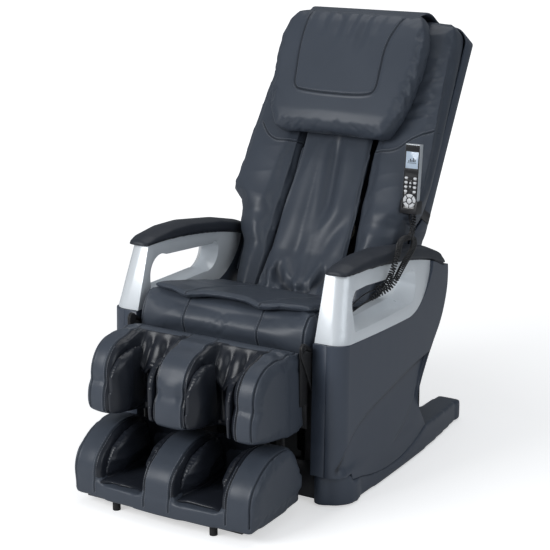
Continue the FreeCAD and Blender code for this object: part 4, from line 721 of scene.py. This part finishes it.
# Seat
# The seat pad is foam under artificial leather, rolled over its front edge. A loose pad lies on
# it, drawn down into two dips at its front by the seams that run on over the roll.
LEATHER_DARK = (0.050, 0.060, 0.078)
LEATHER_LIGHT = (0.063, 0.075, 0.097)
SEAT_SEAM_X = 0.1205
SEAT_END_X = 0.262
SOFT_VOXEL = 0.007
FRONT_FLAT = ((1, 0, 0), (0, 0, 1))
FRONT = (0.0, -0.8, 0.6)
ROLL_LOW = 0.38              # the seams over the roll run between these heights
ROLL_HIGH = 0.56
SKIN_SOFTENING = 4
FILL_PRESSURE = 4.0
SIM_QUALITY = 4
SIM_FRAMES = 14

leather = leather_material("leather", LEATHER_DARK, LEATHER_LIGHT, 0.40, coat=0.04, slack=0.0014)


def inflate(piece, cap):
    """Fill a skin like a cushion: it swells as cloth, and no point moves further than the cap."""
    start = measured(piece)[0]
    cloth = piece.modifiers.new("fill", "CLOTH")
    cloth.settings.use_pressure = True
    cloth.settings.uniform_pressure_force = FILL_PRESSURE
    cloth.settings.effector_weights.gravity = 0.0
    cloth.settings.quality = SIM_QUALITY
    cloth.point_cache.frame_end = SIM_FRAMES
    for number in range(1, SIM_FRAMES + 1):
        scene.frame_set(number)
    settle(piece)
    scene.frame_set(1)
    moved = measured(piece)[0] - start
    length = np.linalg.norm(moved, axis=1)
    share = np.minimum(1.0, cap / np.maximum(length, 1e-9))
    set_points(piece, start + moved * share[:, None])


def shrink(piece, amount):
    """Draw a skin in along its normals, to leave room for filling."""
    points, normals = measured(piece)
    set_points(piece, points - normals * amount)


def soft_skin(name, source, voxel, drawn_in, cap=0.0, smooth=SKIN_SOFTENING):
    """A padded piece from its plain solid: even, drawn in, filled up to the cap and made finer."""
    piece = copy_solid(name, source)
    even_skin(piece, voxel, smooth)
    shrink(piece, drawn_in)
    if cap:
        inflate(piece, cap)
    subdivide(piece)
    # an empty painted shade attribute, which later seams and folds add to
    paint_shade(piece, 0.0)
    return piece


def crumple(piece, tightness, amount, start, facing=None):
    """Slack leather: ridges along the directions in which the tightness is low.

    amount is how high they stand, and start the place in the noise that they are read from.
    """
    points, normals = measured(piece)
    rise = np.array([noise.noise(Vector(p * np.array(tightness) + start)) for p in points])
    rise = 0.6 - 1.6 * np.abs(rise)
    if facing is not None:
        rise *= soft_step((normals @ np.array(facing) - 0.1) / 0.4)
    set_points(piece, points + normals * (amount * rise)[:, None])


def near_lines(piece, flat, lines, reach):
    """Which points of a skin lie within reach of some drawn lines."""
    drawing = measured(piece)[0] @ np.array(flat).T
    return np.min([line_gap(drawing, line)[0] for line in lines], axis=0) < reach


STITCH_PITCH = 0.0056
STITCH_LENGTH = 0.0040
STITCH_WIDTH = 0.0010
STITCH_FACING = 0.2          # no stitch where the skin turns further away than this
ROW_GAP = 0.0044             # from a seam to the stitches beside it
SEAM_REACH = 4.5             # the skin is made finer over this many widths beside a seam
LINE_STEPS = 20

thread = moulded_material("thread", (0.13, 0.145, 0.17), (0.17, 0.185, 0.215), 0.6, pit=0.0005)


def beside(line, gap):
    """The line at a distance beside a drawn line."""
    moved = []
    for i, point in enumerate(line):
        a, b = line[max(0, i - 1)], line[min(len(line) - 1, i + 1)]
        run = Vector((b[0] - a[0], b[1] - a[1])).normalized()
        moved.append((point[0] - run.y * gap, point[1] + run.x * gap))
    return moved


def small_parts(name, shape, material, body, slot):
    """Write small loose parts to one flat-shaded piece on a body."""
    mesh = bpy.data.meshes.new(name)
    shape.to_mesh(mesh)
    shape.free()
    parts = link(name, mesh)
    dress(parts, material)
    mesh.shade_flat()
    belongs(parts, body, slot)


def sew(piece, flat, rows, body):
    """Rows of stitches: short threads laid on the skin where it faces the drawing."""
    shape = open_shape(piece)
    skin = BVHTree.FromBMesh(shape)
    shape.free()
    first, second = Vector(flat[0]), Vector(flat[1])
    out = first.cross(second)
    shape = bmesh.new()
    for row in rows:
        reach = np.concatenate([[0.0], np.cumsum([math.dist(a, b) for a, b in zip(row, row[1:])])])
        columns = np.array(row).T
        for at in np.arange(0.0, reach[-1] - STITCH_LENGTH, STITCH_PITCH):
            ends = []
            for along in (at, at + STITCH_LENGTH):
                x, y = place_along(columns, reach, along)
                ends.append(skin.ray_cast(first * x + second * y + out * 2.0, -out)[:2])
            if None in (ends[0][0], ends[1][0]) or ends[0][1].dot(out) < STITCH_FACING:
                continue
            run = ends[1][0] - ends[0][0]
            if run.length > 2.0 * STITCH_LENGTH:
                continue
            forward = run.normalized()
            up = (ends[0][1] - forward * ends[0][1].dot(forward)).normalized()
            lie = Matrix((forward, forward.cross(up), up)).transposed().to_4x4()
            lie.translation = (ends[0][0] + ends[1][0]) / 2
            size = Matrix.Diagonal((run.length, STITCH_WIDTH, STITCH_WIDTH * 0.8, 1.0))
            bmesh.ops.create_cube(shape, size=1.0, matrix=lie @ size)
    small_parts(piece.name + "_stitches", shape, thread, body, "leather")


def seams(piece, flat, lines, facing, width=0.0022, depth=0.0030, lip=0.0009, painted_shade_level=0.75):
    """Sewn seams: the skin that faces them is made finer beside them and then drawn in along each, with
    painted shade in each groove.
    """
    near = near_lines(piece, flat, lines, SEAM_REACH * width) & (measured(piece)[1] @ np.array(facing) > 0.0)
    refine(piece, near)
    for line in lines:
        press(piece, flat, line, width, depth, facing, lip, painted_shade_level)


def stitched_seams(piece, flat, lines, body, facing, sides=(-1, 1), **shape):
    """Seams with a row of stitches on the given sides of each."""
    seams(piece, flat, lines, facing, **shape)
    sew(piece, flat, [beside(line, side * ROW_GAP) for line in lines for side in sides], body)


def upright_pair(x, low, high):
    """An upright line on each side of the middle."""
    heights = [low + (high - low) * i / LINE_STEPS for i in range(LINE_STEPS + 1)]
    return [[(side * x, height) for height in heights] for side in (-1, 1)]


seat = soft_skin("seat_pad", "seat_cushion", SOFT_VOXEL, drawn_in=0.004, cap=0.006)
crumple(seat, tightness=(7.0, 7.0, 13.0), amount=0.0026, start=6.1, facing=FRONT)
roll_seams = upright_pair(SEAT_SEAM_X, ROLL_LOW, ROLL_HIGH)
end_seams = upright_pair(SEAT_END_X, ROLL_LOW, ROLL_HIGH)
seams(seat, FRONT_FLAT, roll_seams, FRONT)
seams(seat, FRONT_FLAT, end_seams, FRONT, depth=0.004)
rows = [beside(line, side * ROW_GAP) for line in roll_seams + end_seams for side in (-1, 1)]
sew(seat, FRONT_FLAT, rows, "root")
finish_pad(seat, leather, "root", "leather", "seat_cushion")

TOP_FLAT = ((1, 0, 0), (0, 1, 0))
TOP = (0.0, -0.2, 1.0)
TOP_PAD_VOXEL = 0.006
TOP_PAD_FRONT = -0.42        # its seams run between these places
TOP_PAD_REAR = 0.03
DIP_START = -0.270           # the pad's front bends down from here on
DIP_RUN = 0.090
DIP_FORWARD = 0.012
DIP_DOWN = 0.006
DIP_HALF = 0.042
PUFF_FRONT = 0.001


def dip_front(piece):
    """Draw the pad's front down at its two seams, and fill it up between them."""
    points = measured(piece)[0]
    front = soft_step((DIP_START - points[:, 1]) / DIP_RUN)
    dip = np.exp(-((np.abs(points[:, 0]) - SEAT_SEAM_X) / DIP_HALF) ** 2)
    points[:, 1] -= DIP_FORWARD * front * dip
    points[:, 2] += front * (PUFF_FRONT * (1.0 - dip) - DIP_DOWN * dip)
    set_points(piece, points)


cover = soft_skin("seat_top_pad", "seat_cover", TOP_PAD_VOXEL, drawn_in=0.0015, cap=0.005)
dip_front(cover)
crumple(cover, tightness=(6.0, 8.0, 8.0), amount=0.0022, start=9.3, facing=TOP)
stitched_seams(cover, TOP_FLAT, upright_pair(SEAT_SEAM_X, TOP_PAD_FRONT, TOP_PAD_REAR), "root", TOP)
finish_pad(cover, leather, "root", "leather", "seat_cover")


# Back bolsters
# Foam bolsters under leather flank the back. Each has a stitched seam across its shoulder and
# soft creases, and its lower end is bunched on the seat.
LEAN = math.radians(30.0)
ACROSS = np.array((1.0, 0.0, 0.0))
UP_BACK = np.array((0.0, math.sin(LEAN), math.cos(LEAN)))
INTO_BACK = np.array((0.0, math.cos(LEAN), -math.sin(LEAN)))
BACK_FLAT = (ACROSS, UP_BACK)
BACK_FRONT = -INTO_BACK
SHOULDER_LEFT = [(0.132, 0.880), (0.169, 0.882), (0.199, 0.885), (0.223, 0.897), (0.244, 0.923),
                 (0.271, 0.944), (0.312, 0.976)]
SHOULDER_RIGHT = [(-0.120, 0.890), (-0.169, 0.884), (-0.192, 0.881), (-0.212, 0.885), (-0.241, 0.902),
                  (-0.268, 0.936)]
WING_CREASES = [([(0.150, 1.010), (0.220, 1.040), (0.300, 1.075)], 0.010, 0.0045),
                ([(0.180, 0.985), (0.240, 0.998), (0.300, 1.030)], 0.007, 0.0030),
                ([(0.215, 1.100), (0.260, 1.125), (0.300, 1.165)], 0.009, 0.0030),
                ([(0.150, 0.640), (0.230, 0.655), (0.310, 0.650)], 0.018, 0.0030),
                ([(0.150, 0.540), (0.220, 0.560), (0.300, 0.548)], 0.016, 0.0030)]
CREASE_LIP = 0.6             # a lip's height as a share of its crease's depth
WING_VOXEL = 0.0065
BUNCHES = ((0.35, 58.0, 0.0), (0.25, 131.0, 1.0))     # waves of a lower end: share, tightness and start
LOW_STRETCH = 0.110          # height of the lower end that is drawn down to the seat
WING_DROP = 0.050
WING_FORWARD = 0.010


def let_down(piece, drop, forward):
    """Lengthen the lower end of a back piece so that it lies on the seat, slightly bunched."""
    points = measured(piece)[0]
    up = points @ UP_BACK
    low = soft_step((up.min() + LOW_STRETCH - up) / LOW_STRETCH)
    wave = 1.0 + sum(share * np.sin(points[:, 0] * tight + start) for share, tight, start in BUNCHES)
    points -= UP_BACK * (drop * low)[:, None]
    points -= INTO_BACK * (forward * low * wave)[:, None]
    set_points(piece, points)


for side, mirror, shoulder in (("left", 1.0, SHOULDER_LEFT), ("right", -1.0, SHOULDER_RIGHT)):
    wing = soft_skin("back_bolster_" + side, "back_wing_" + side, WING_VOXEL, drawn_in=0.003, cap=0.006)
    for crease, width, depth in WING_CREASES:
        line = flat_line([(mirror * x, u) for x, u in crease])
        press(wing, BACK_FLAT, line, width, depth, BACK_FRONT, lip=depth * CREASE_LIP, fade=0.05)
    crumple(wing, tightness=(5.0, 11.0, 16.0), amount=0.0028, start=7.7 * mirror, facing=BACK_FRONT)
    let_down(wing, WING_DROP, WING_FORWARD)
    stitched_seams(wing, BACK_FLAT, [flat_line(shoulder)], "backrest", BACK_FRONT)
    finish_pad(wing, leather, "backrest", "leather", "back_wing_" + side)


# Back cover
# A loose leather panel is sewn between the bolsters over the roller way. It hangs in long soft
# folds, and its free hem lies on the seat.
COVER_VOXEL = 0.0055
COVER_FOLDS = [              # each with its line, width, depth, lip and fade
    ([(-0.003, 0.960), (0.002, 0.896), (0.010, 0.820), (0.018, 0.751), (0.026, 0.690), (0.024, 0.620)],
     0.018, 0.0095, 0.0035, 0.10),
    ([(-0.055, 0.940), (-0.056, 0.800), (-0.070, 0.680), (-0.080, 0.540)], 0.032, -0.0065, 0.0, 0.12),
    ([(0.066, 0.940), (0.072, 0.800), (0.066, 0.690), (0.040, 0.580)], 0.030, -0.0060, 0.0, 0.12),
    ([(0.122, 0.700), (0.082, 0.640), (0.050, 0.570), (0.030, 0.490)], 0.022, 0.0070, 0.0025, 0.10),
    ([(-0.020, 0.640), (-0.030, 0.560), (-0.070, 0.450)], 0.026, 0.0065, 0.0020, 0.10),
]
HEM_FOLDS = [
    ([(-0.092, 0.505), (-0.078, 0.470), (-0.044, 0.432), (0.004, 0.400)], 0.013, 0.0125, 0.0060, 0.03),
    ([(-0.122, 0.480), (-0.108, 0.440), (-0.090, 0.405)], 0.009, 0.0060, 0.0030, 0.03),
    ([(0.010, 0.404), (0.048, 0.420), (0.076, 0.462), (0.088, 0.505)], 0.014, 0.0115, 0.0055, 0.03),
]
# painted shade in the hem's folds, which lie in shade on the seat
HEM_PAINTED_SHADE = 0.55
COVER_SEAM_LEFT = [(-0.118, 1.000), (-0.113, 0.934), (-0.110, 0.864), (-0.112, 0.808), (-0.119, 0.736),
                   (-0.127, 0.665), (-0.133, 0.588), (-0.137, 0.485), (-0.138, 0.430)]
COVER_SEAM_RIGHT = [(0.122, 1.000), (0.120, 0.925), (0.121, 0.834), (0.123, 0.765), (0.127, 0.682),
                    (0.132, 0.600), (0.134, 0.440)]
HEM_DROP = 0.046
HEM_FORWARD = 0.022


def fold_cover(folds, painted_shade_level=0.0):
    """Press folds into the front of the back cover, with painted shade in them where given."""
    for line, width, depth, lip, fade in folds:
        press(back_cover, BACK_FLAT, flat_line(line), width, depth, BACK_FRONT, lip, painted_shade_level, fade)


back_cover = soft_skin("back_leather", "back_cover", COVER_VOXEL, drawn_in=0.002, cap=0.007)
fold_cover(COVER_FOLDS)
crumple(back_cover, tightness=(10.0, 3.0, 3.0), amount=0.0024, start=3.1, facing=BACK_FRONT)
let_down(back_cover, HEM_DROP, HEM_FORWARD)
fold_cover(HEM_FOLDS, HEM_PAINTED_SHADE)
left_seam = flat_line(COVER_SEAM_LEFT)
right_seam = flat_line(COVER_SEAM_RIGHT)
# the left seam gets heavy painted shade for the deep gap beside the bolster
seams(back_cover, BACK_FLAT, [left_seam], BACK_FRONT, width=0.0040, depth=0.007, lip=0.0022, painted_shade_level=0.9)
seams(back_cover, BACK_FLAT, [right_seam], BACK_FRONT)
cover_rows = [beside(left_seam, 2.0 * ROW_GAP), beside(right_seam, -ROW_GAP), beside(right_seam, ROW_GAP)]
sew(back_cover, BACK_FLAT, cover_rows, "backrest")
finish_pad(back_cover, leather, "backrest", "leather", "back_cover")


# Head pillow and its band
# A foam pad under leather with an inner panel. It hangs from a leather band that is laid over the
# top of the back and down behind it.
PILLOW_VOXEL = 0.0065
PANEL_SEAM = [(-0.159, 1.292), (-0.161, 1.229), (-0.158, 1.150), (-0.148, 1.085), (-0.142, 1.030),
              (-0.100, 1.022), (-0.030, 1.018), (0.050, 1.018), (0.105, 1.022), (0.136, 1.035),
              (0.134, 1.100), (0.130, 1.170), (0.141, 1.231), (0.160, 1.280)]
PILLOW_TOP = 1.32            # folds run up to here, each from its foot: two places across, foot and width
PILLOW_FOLDS = [(-0.098, -0.094, 1.20, 0.013), (-0.048, -0.038, 1.15, 0.016), (-0.004, 0.010, 1.18, 0.011),
                (0.034, 0.060, 1.13, 0.014), (0.074, 0.104, 1.19, 0.012)]
PILLOW_RISE = 0.010          # the top is lifted by this, above a start and over a run
RISE_START = 1.21
RISE_RUN = 0.07
BAND_VOXEL = 0.005
BAND_TUCK = 0.012            # how far the band's front lies below the pillow's top
BAND_NARROWING = 0.06
BAND_FRONT = -0.215          # what lies further forward than this is the band's front
BAND_BEND = 0.045


def raise_top(piece):
    """Lift the top of the pillow softly."""
    points = measured(piece)[0]
    lifted = PILLOW_RISE * soft_step((points @ UP_BACK - RISE_START) / RISE_RUN)
    set_points(piece, points + UP_BACK * lifted[:, None])


def tuck_band(piece):
    """Lay the front of the band behind the top edge of the pillow, and draw its ends in."""
    points = measured(piece)[0]
    front = soft_step((BAND_FRONT - points @ INTO_BACK) / BAND_BEND)
    points -= UP_BACK * (BAND_TUCK * front)[:, None]
    points[:, 0] *= 1.0 - BAND_NARROWING * front
    set_points(piece, points)


pillow = soft_skin("head_pillow", "pillow", PILLOW_VOXEL, drawn_in=0.005, cap=0.008, smooth=8)
raise_top(pillow)
stitched_seams(pillow, BACK_FLAT, [flat_line(PANEL_SEAM)], "pillow", BACK_FRONT, sides=(1,), width=0.003,
               depth=0.0045, lip=0.0014)
for low_x, high_x, foot, width in PILLOW_FOLDS:
    press(pillow, BACK_FLAT, [(low_x, foot), (high_x, PILLOW_TOP)], width, depth=0.0042, facing=BACK_FRONT,
          lip=0.0022, fade=0.09)
finish_pad(pillow, leather, "pillow", "leather", "pillow")

band = soft_skin("pillow_band", "pillow_flap", BAND_VOXEL, drawn_in=0.001, cap=0.004, smooth=2)
tuck_band(band)
finish_pad(band, leather, "backrest", "leather", "pillow_flap")


# Calf rest
# One padded unit with three walls that make two channels for the calves. Double-stitched seams
# run over each wall, thin shiny linings puff out inside, and the leather above them is folded in.
LINING_DARK = (0.012, 0.014, 0.020)
LINING_LIGHT = (0.022, 0.026, 0.035)
CALF_SEAMS = (0.0430, 0.2120)
CALF_EDGE_X = 0.258
CALF_LOW = 0.20              # its seams run between these heights
CALF_HIGH = 0.50
LINING_VOXEL = 0.005

lining_leather = leather_material("lining_leather", LINING_DARK, LINING_LIGHT, 0.33, grain=0.0007,
                                  depth=0.00003, coat=0.12, slack=0.0020)
CHANNEL_INNER = 0.056        # sides of a channel, across from the middle
CHANNEL_OUTER = 0.191
CHANNEL_BLEND = 0.014
CHANNEL_REAR = -0.488
VALLEY_LOW = 0.385           # the leather over a channel sinks above this height
VALLEY_BLEND = 0.015
VALLEY_RUN = 0.075           # from the rear of the channel forward to the full drop
VALLEY_DROP = 0.062
VALLEY_BACK = 0.022
VALLEY_FOLD = 0.020          # depth of the folds, each with its place, width and share
VALLEY_FOLDS = ((-0.02, 0.012, 1.0), (0.03, 0.010, 0.8))
LINING_REACH = 0.028         # a lining lies within this distance of its wall
LINING_BLEND = 0.008


def sink_channel_tops(piece):
    """Draw the leather over each channel down into a folded valley."""
    points = measured(piece)[0]
    across = np.abs(points[:, 0])
    inside = (soft_step((across - CHANNEL_INNER) / CHANNEL_BLEND)
              * soft_step((CHANNEL_OUTER - across) / CHANNEL_BLEND)
              * soft_step((points[:, 2] - VALLEY_LOW) / VALLEY_BLEND))
    out = np.clip((CHANNEL_REAR - points[:, 1]) / VALLEY_RUN, 0.0, 1.0)
    aside = across - (CHANNEL_INNER + CHANNEL_OUTER) / 2
    fold = sum(share * np.exp(-((aside - place) / width) ** 2) for place, width, share in VALLEY_FOLDS)
    points[:, 2] -= inside * (VALLEY_DROP * out + VALLEY_FOLD * fold * soft_step(out * 3.0))
    points[:, 1] += inside * VALLEY_BACK * out
    set_points(piece, points)


def line_channels(piece, across, rear, low=-1.0):
    """Give the skin inside the channels, between the sewn lines, the leather of the linings."""
    piece.data.materials.append(lining_leather)
    for face in piece.data.polygons:
        x, y, z = face.center
        if across[0] < abs(x) < across[1] and y < rear and z > low:
            face.material_index = 1


def puff_linings(piece, inner, rear, depth, low, height, swell, forward, rise):
    """Blow up the linings on both walls of each channel, and draw their edges in to the walls.

    rear and depth give the channel's length, low and height its upright range, swell how far the
    linings stand out, and forward and rise how far they come out of the channel.
    """
    points, normals = measured(piece)
    sign = np.sign(points[:, 0])
    across = np.abs(points[:, 0])
    at_inner = soft_step((inner + LINING_REACH - across) / LINING_BLEND)
    at_outer = soft_step((across - CHANNEL_OUTER + LINING_REACH) / LINING_BLEND)
    out = np.clip((rear - points[:, 1]) / depth, 0.0, 1.0)
    up = np.clip((points[:, 2] - low) / height, 0.0, 1.0)
    side = at_inner + at_outer
    towards = sign * (at_inner - at_outer)
    dome = (np.sin(np.pi * out ** 1.3) * np.sin(np.pi * (0.08 + 0.84 * up))).clip(0.0) ** 0.8
    edge = soft_step((1.0 - out) / 0.35 + 0.05)
    wall = np.where(at_inner > at_outer, inner, CHANNEL_OUTER)
    across += (wall - across) * (1.0 - edge) * side
    points[:, 0] = sign * across + towards * swell * dome * (normals[:, 0] * towards > 0)
    points[:, 1] -= forward * out * side
    points[:, 2] += rise * soft_step(up * 1.6 - 0.6) * side * (1.0 - 0.5 * out)
    set_points(piece, points)


calf = soft_skin("calf_padding", "calf_pad", SOFT_VOXEL, drawn_in=0.003, cap=0.004)
sink_channel_tops(calf)
crumple(calf, tightness=(7.0, 7.0, 7.0), amount=0.0011, start=2.4)
seams(calf, FRONT_FLAT, upright_pair(CALF_EDGE_X, CALF_LOW, CALF_HIGH), FRONT, depth=0.004)
wall_seams = [line for x in CALF_SEAMS for line in upright_pair(x, CALF_LOW, CALF_HIGH)]
stitched_seams(calf, FRONT_FLAT, wall_seams, "legrest", FRONT)
dress(calf, leather)
line_channels(calf, CALF_SEAMS, CHANNEL_REAR)
belongs(calf, "legrest", "leather", "calf_pad")

linings = soft_skin("calf_channel_linings", "calf_linings", LINING_VOXEL, drawn_in=0.001)
puff_linings(linings, CHANNEL_INNER, rear=-0.500, depth=0.142, low=0.240, height=0.165, swell=0.026,
             forward=0.020, rise=0.030)
crumple(linings, tightness=(18.0, 18.0, 5.0), amount=0.0050, start=1.3)
finish_pad(linings, lining_leather, "legrest", "lining", "calf_linings")


# Foot rest
# The foot unit slides out below the calf rest. It has the same walls and seams, puffed linings, a
# padded sole in each channel and a plain lip across the front.
FOOT_SEAMS = (0.0400, 0.2120)
FOOT_EDGE_X = 0.280
FOOT_LOW = 0.05              # its seams run between these heights
FOOT_HIGH = 0.25
FOOT_INNER = 0.053           # inner side of a channel, across from the middle
FOOT_REAR = -0.460
LIP_TOP = 0.092              # height of the lip, where the channels begin

foot = soft_skin("foot_padding", "foot_pad", SOFT_VOXEL, drawn_in=0.003, cap=0.004)
crumple(foot, tightness=(7.0, 7.0, 7.0), amount=0.0011, start=4.4)
seams(foot, FRONT_FLAT, upright_pair(FOOT_EDGE_X, FOOT_LOW, FOOT_HIGH), FRONT, depth=0.004)
wall_seams = [line for x in FOOT_SEAMS for line in upright_pair(x, FOOT_LOW, FOOT_HIGH)]
stitched_seams(foot, FRONT_FLAT, wall_seams, "footrest", FRONT)
dress(foot, leather)
line_channels(foot, FOOT_SEAMS, FOOT_REAR, LIP_TOP)
belongs(foot, "footrest", "leather", "foot_pad")

foot_lining = soft_skin("foot_channel_linings", "foot_linings", LINING_VOXEL, drawn_in=0.001)
puff_linings(foot_lining, FOOT_INNER, rear=-0.470, depth=0.206, low=LIP_TOP, height=0.100, swell=0.022,
             forward=0.014, rise=0.004)
crumple(foot_lining, tightness=(16.0, 8.0, 26.0), amount=0.0050, start=5.2)
finish_pad(foot_lining, lining_leather, "footrest", "lining", "foot_linings")


# Massage mechanism
# Hard cream rollers turn on steel axles at the ends of two bowed arms, inside the back.
cream = moulded_material("roller_plastic", (0.56, 0.52, 0.42), (0.62, 0.58, 0.48), 0.35, depth=0.00002)
for name in ("upper_rollers", "lower_rollers"):
    finish_solid(name, cream, TUBE_EDGE)


# Handset
# A silver shell with a black face, a lit screen and white keys. It stands in a black cup.
handset_silver = moulded_material("handset_lacquer", (0.52, 0.55, 0.58), (0.58, 0.61, 0.64), 0.28, pit=0.0004,
                                  depth=0.00001, metallic=0.3, coat=0.4)
key_white = moulded_material("key_white", (0.74, 0.75, 0.77), (0.80, 0.81, 0.83), 0.32, pit=0.0004,
                             depth=0.00001)
screen_glass = moulded_material("screen_glass", (0.50, 0.60, 0.72), (0.58, 0.68, 0.80), 0.12, pit=0.001,
                                depth=0.000001)
face_black = moulded_material("face_black", (0.010, 0.010, 0.012), (0.016, 0.016, 0.018), 0.22, pit=0.0004,
                              depth=0.00001, coat=0.3)
HANDSET_FOOT = Vector((0.303, 0.154, 0.722))
HANDSET_LEAN = math.radians(5.6)
SHELL_EDGE = 0.0004
KEY_EDGE = 0.0004
SCREEN_EDGE = 0.0002
FACE_HALF = 0.0232           # the black face: half its width, its depth and the height of its top
FACE_BACK = -0.0062
FACE_TOP = 0.183
MARK_LIFT = 0.00155          # front of the key faces, measured forward from the handset's face
MARK_THICK = 0.0002
RING_GAPS = 5
RING_Z = 0.034
RING_MIDDLE = 0.0155
RING_BAND = 0.010
RING_GAP = 0.0026
ARROWS_Z = 0.0815            # middle between the two arrows, which are drawn in four steps each
ARROW_START = 0.0035
ARROW_STEP = 0.0016
ARROW_WIDTH = 0.0072
ARROW_TAPER = 0.0018
BARS = (0.004, 0.009, 0.006, 0.012, 0.008)
BARS_Z = 0.148
BAR_PITCH = 0.005
BAR_WIDTH = 0.0028
BASE_LINE = (0.0, 0.145, 0.028, 0.0012, 0.0)


def on_handset(x, forward, z):
    """A place on the handset: across, forward of its face, and up from its foot."""
    return HANDSET_FOOT + Vector((x, -forward * math.cos(HANDSET_LEAN) + z * math.sin(HANDSET_LEAN),
                                  forward * math.sin(HANDSET_LEAN) + z * math.cos(HANDSET_LEAN)))


def add_marks(name, body, slot, material, forward, thick, plates):
    """Thin printed marks on the handset, as one piece that rides on a body.

    Each plate gives its middle across and up, its width, its height and its own turn.
    """
    shape = bmesh.new()
    for x, z, width, height, turn in plates:
        lie = (Matrix.Translation(on_handset(x, forward, z)) @ Matrix.Rotation(-HANDSET_LEAN, 4, "X")
               @ Matrix.Rotation(turn, 4, "Y") @ Matrix.Diagonal((width, thick, height, 1.0)))
        bmesh.ops.create_cube(shape, size=1.0, matrix=lie)
    small_parts(name, shape, material, body, slot)


shell = copy_solid("handset_shell", "handset_body")
ease_edges(shell, SHELL_EDGE, segments=2)
dress(shell, handset_silver)
shell.data.materials.append(face_black)
out_of_face = on_handset(0, 1, 0) - HANDSET_FOOT
up_handset = on_handset(0, 0, 1) - HANDSET_FOOT
for face in shell.data.polygons:
    place = Vector(face.center) - HANDSET_FOOT
    if place.dot(out_of_face) > FACE_BACK and abs(place.x) < FACE_HALF and place.dot(up_handset) < FACE_TOP:
        face.material_index = 1
belongs(shell, "handset", "handset", "handset_body")
finish_solid("handset_screen", screen_glass, SCREEN_EDGE)
for name in nodes:
    if name.startswith("key_"):
        finish_solid(name, face_black if name == "key_arrows" else key_white, KEY_EDGE)

gap_turns = [math.radians(90.0) + math.tau * (i + 0.5) / RING_GAPS for i in range(RING_GAPS)]
ring_gaps = [(RING_MIDDLE * math.cos(turn), RING_Z + RING_MIDDLE * math.sin(turn), RING_BAND, RING_GAP, -turn)
             for turn in gap_turns]
arrows = [(0.0, ARROWS_Z + sign * (ARROW_START + ARROW_STEP * part), ARROW_WIDTH - ARROW_TAPER * part,
           ARROW_STEP, 0.0) for sign in (-1, 1) for part in range(4)]
bars = [(BAR_PITCH * (i - 2), BARS_Z + height / 2, BAR_WIDTH, height, 0.0) for i, height in enumerate(BARS)]
add_marks("ring_gaps", "key_ring", "key", face_black, MARK_LIFT, MARK_THICK, ring_gaps)
add_marks("arrow_marks", "key_arrows", "key", key_white, MARK_LIFT, MARK_THICK, arrows)
add_marks("screen_marks", "handset", "screen", face_black, 0.0, 0.0003, bars + [BASE_LINE])


# Floor and light
# A white sweep under broad, even studio lamps.
FLOOR_HALF = 30.0
GLOW_START = 0.8             # from here outwards the paper clears up to plain white
GLOW_END = 4.5
GLOW_NEAR = 0.52
SKY_LEVEL = 0.21             # light of the surroundings, where the camera doesn't see them
shape = bmesh.new()
bmesh.ops.create_grid(shape, x_segments=1, y_segments=1, size=FLOOR_HALF)
floor_mesh = bpy.data.meshes.new("floor")
shape.to_mesh(floor_mesh)
shape.free()
floor = link("floor", floor_mesh)
material, tree, shader, place = plain_material("floor_paper")
seen = tree.nodes.new("ShaderNodeLightPath")
paper = add(tree, "ShaderNodeTexNoise", Vector=place, Scale=3.0, Detail=2.0)
tree.links.new(tone(tree, paper.outputs["Fac"], (0.86, 0.86, 0.865), (0.88, 0.88, 0.885)),
               shader.inputs["Base Color"])
shader.inputs["Roughness"].default_value = 0.9
shader.inputs["Specular IOR Level"].default_value = 0.1
shader.inputs["Emission Color"].default_value = (1.0, 1.0, 1.0, 1.0)
away = add(tree, "ShaderNodeVectorMath")
away.operation = "LENGTH"
tree.links.new(place, away.inputs[0])
lift = add(tree, "ShaderNodeMapRange", Value=away.outputs["Value"], From_Min=GLOW_START, From_Max=GLOW_END,
           To_Min=GLOW_NEAR, To_Max=1.0)
tree.links.new(worked_out(tree, "MULTIPLY", seen.outputs["Is Camera Ray"], lift.outputs["Result"]),
               shader.inputs["Emission Strength"])
floor_mesh.materials.append(material)


def lamp(name, place, aim, size, power, colour=(1.0, 1.0, 1.0)):
    """A square studio lamp aimed at a point."""
    light = bpy.data.lights.new(name, "AREA")
    light.shape = "RECTANGLE"
    light.size = size[0]
    light.size_y = size[1]
    light.energy = power
    light.color = colour
    holder = link(name, light)
    holder.location = place
    holder.rotation_mode = "QUATERNION"
    holder.rotation_quaternion = (Vector(aim) - Vector(place)).to_track_quat("-Z", "Y")


lamp("key_lamp", place=(-1.5, -3.4, 2.2), aim=(0.0, 0.0, 0.5), size=(2.0, 1.8), power=84.0,
     colour=(0.98, 0.99, 1.0))
lamp("fill_lamp", place=(3.2, -1.6, 2.2), aim=(0.0, 0.0, 0.5), size=(2.2, 2.2), power=28.0,
     colour=(0.90, 0.95, 1.0))
lamp("top_lamp", place=(0.0, 0.6, 3.6), aim=(0.0, -0.1, 0.4), size=(2.6, 2.6), power=30.0)

world = bpy.data.worlds.new("studio")
world.use_nodes = True
scene.world = world
tree = world.node_tree
background = tree.nodes["Background"]
seen = tree.nodes.new("ShaderNodeLightPath")
tree.links.new(spread(tree, seen.outputs["Is Camera Ray"], SKY_LEVEL, 1.0), background.inputs["Strength"])
tree.links.new(tone(tree, seen.outputs["Is Camera Ray"], (0.88, 0.94, 1.0), (1.0, 1.0, 1.0)),
               background.inputs["Color"])
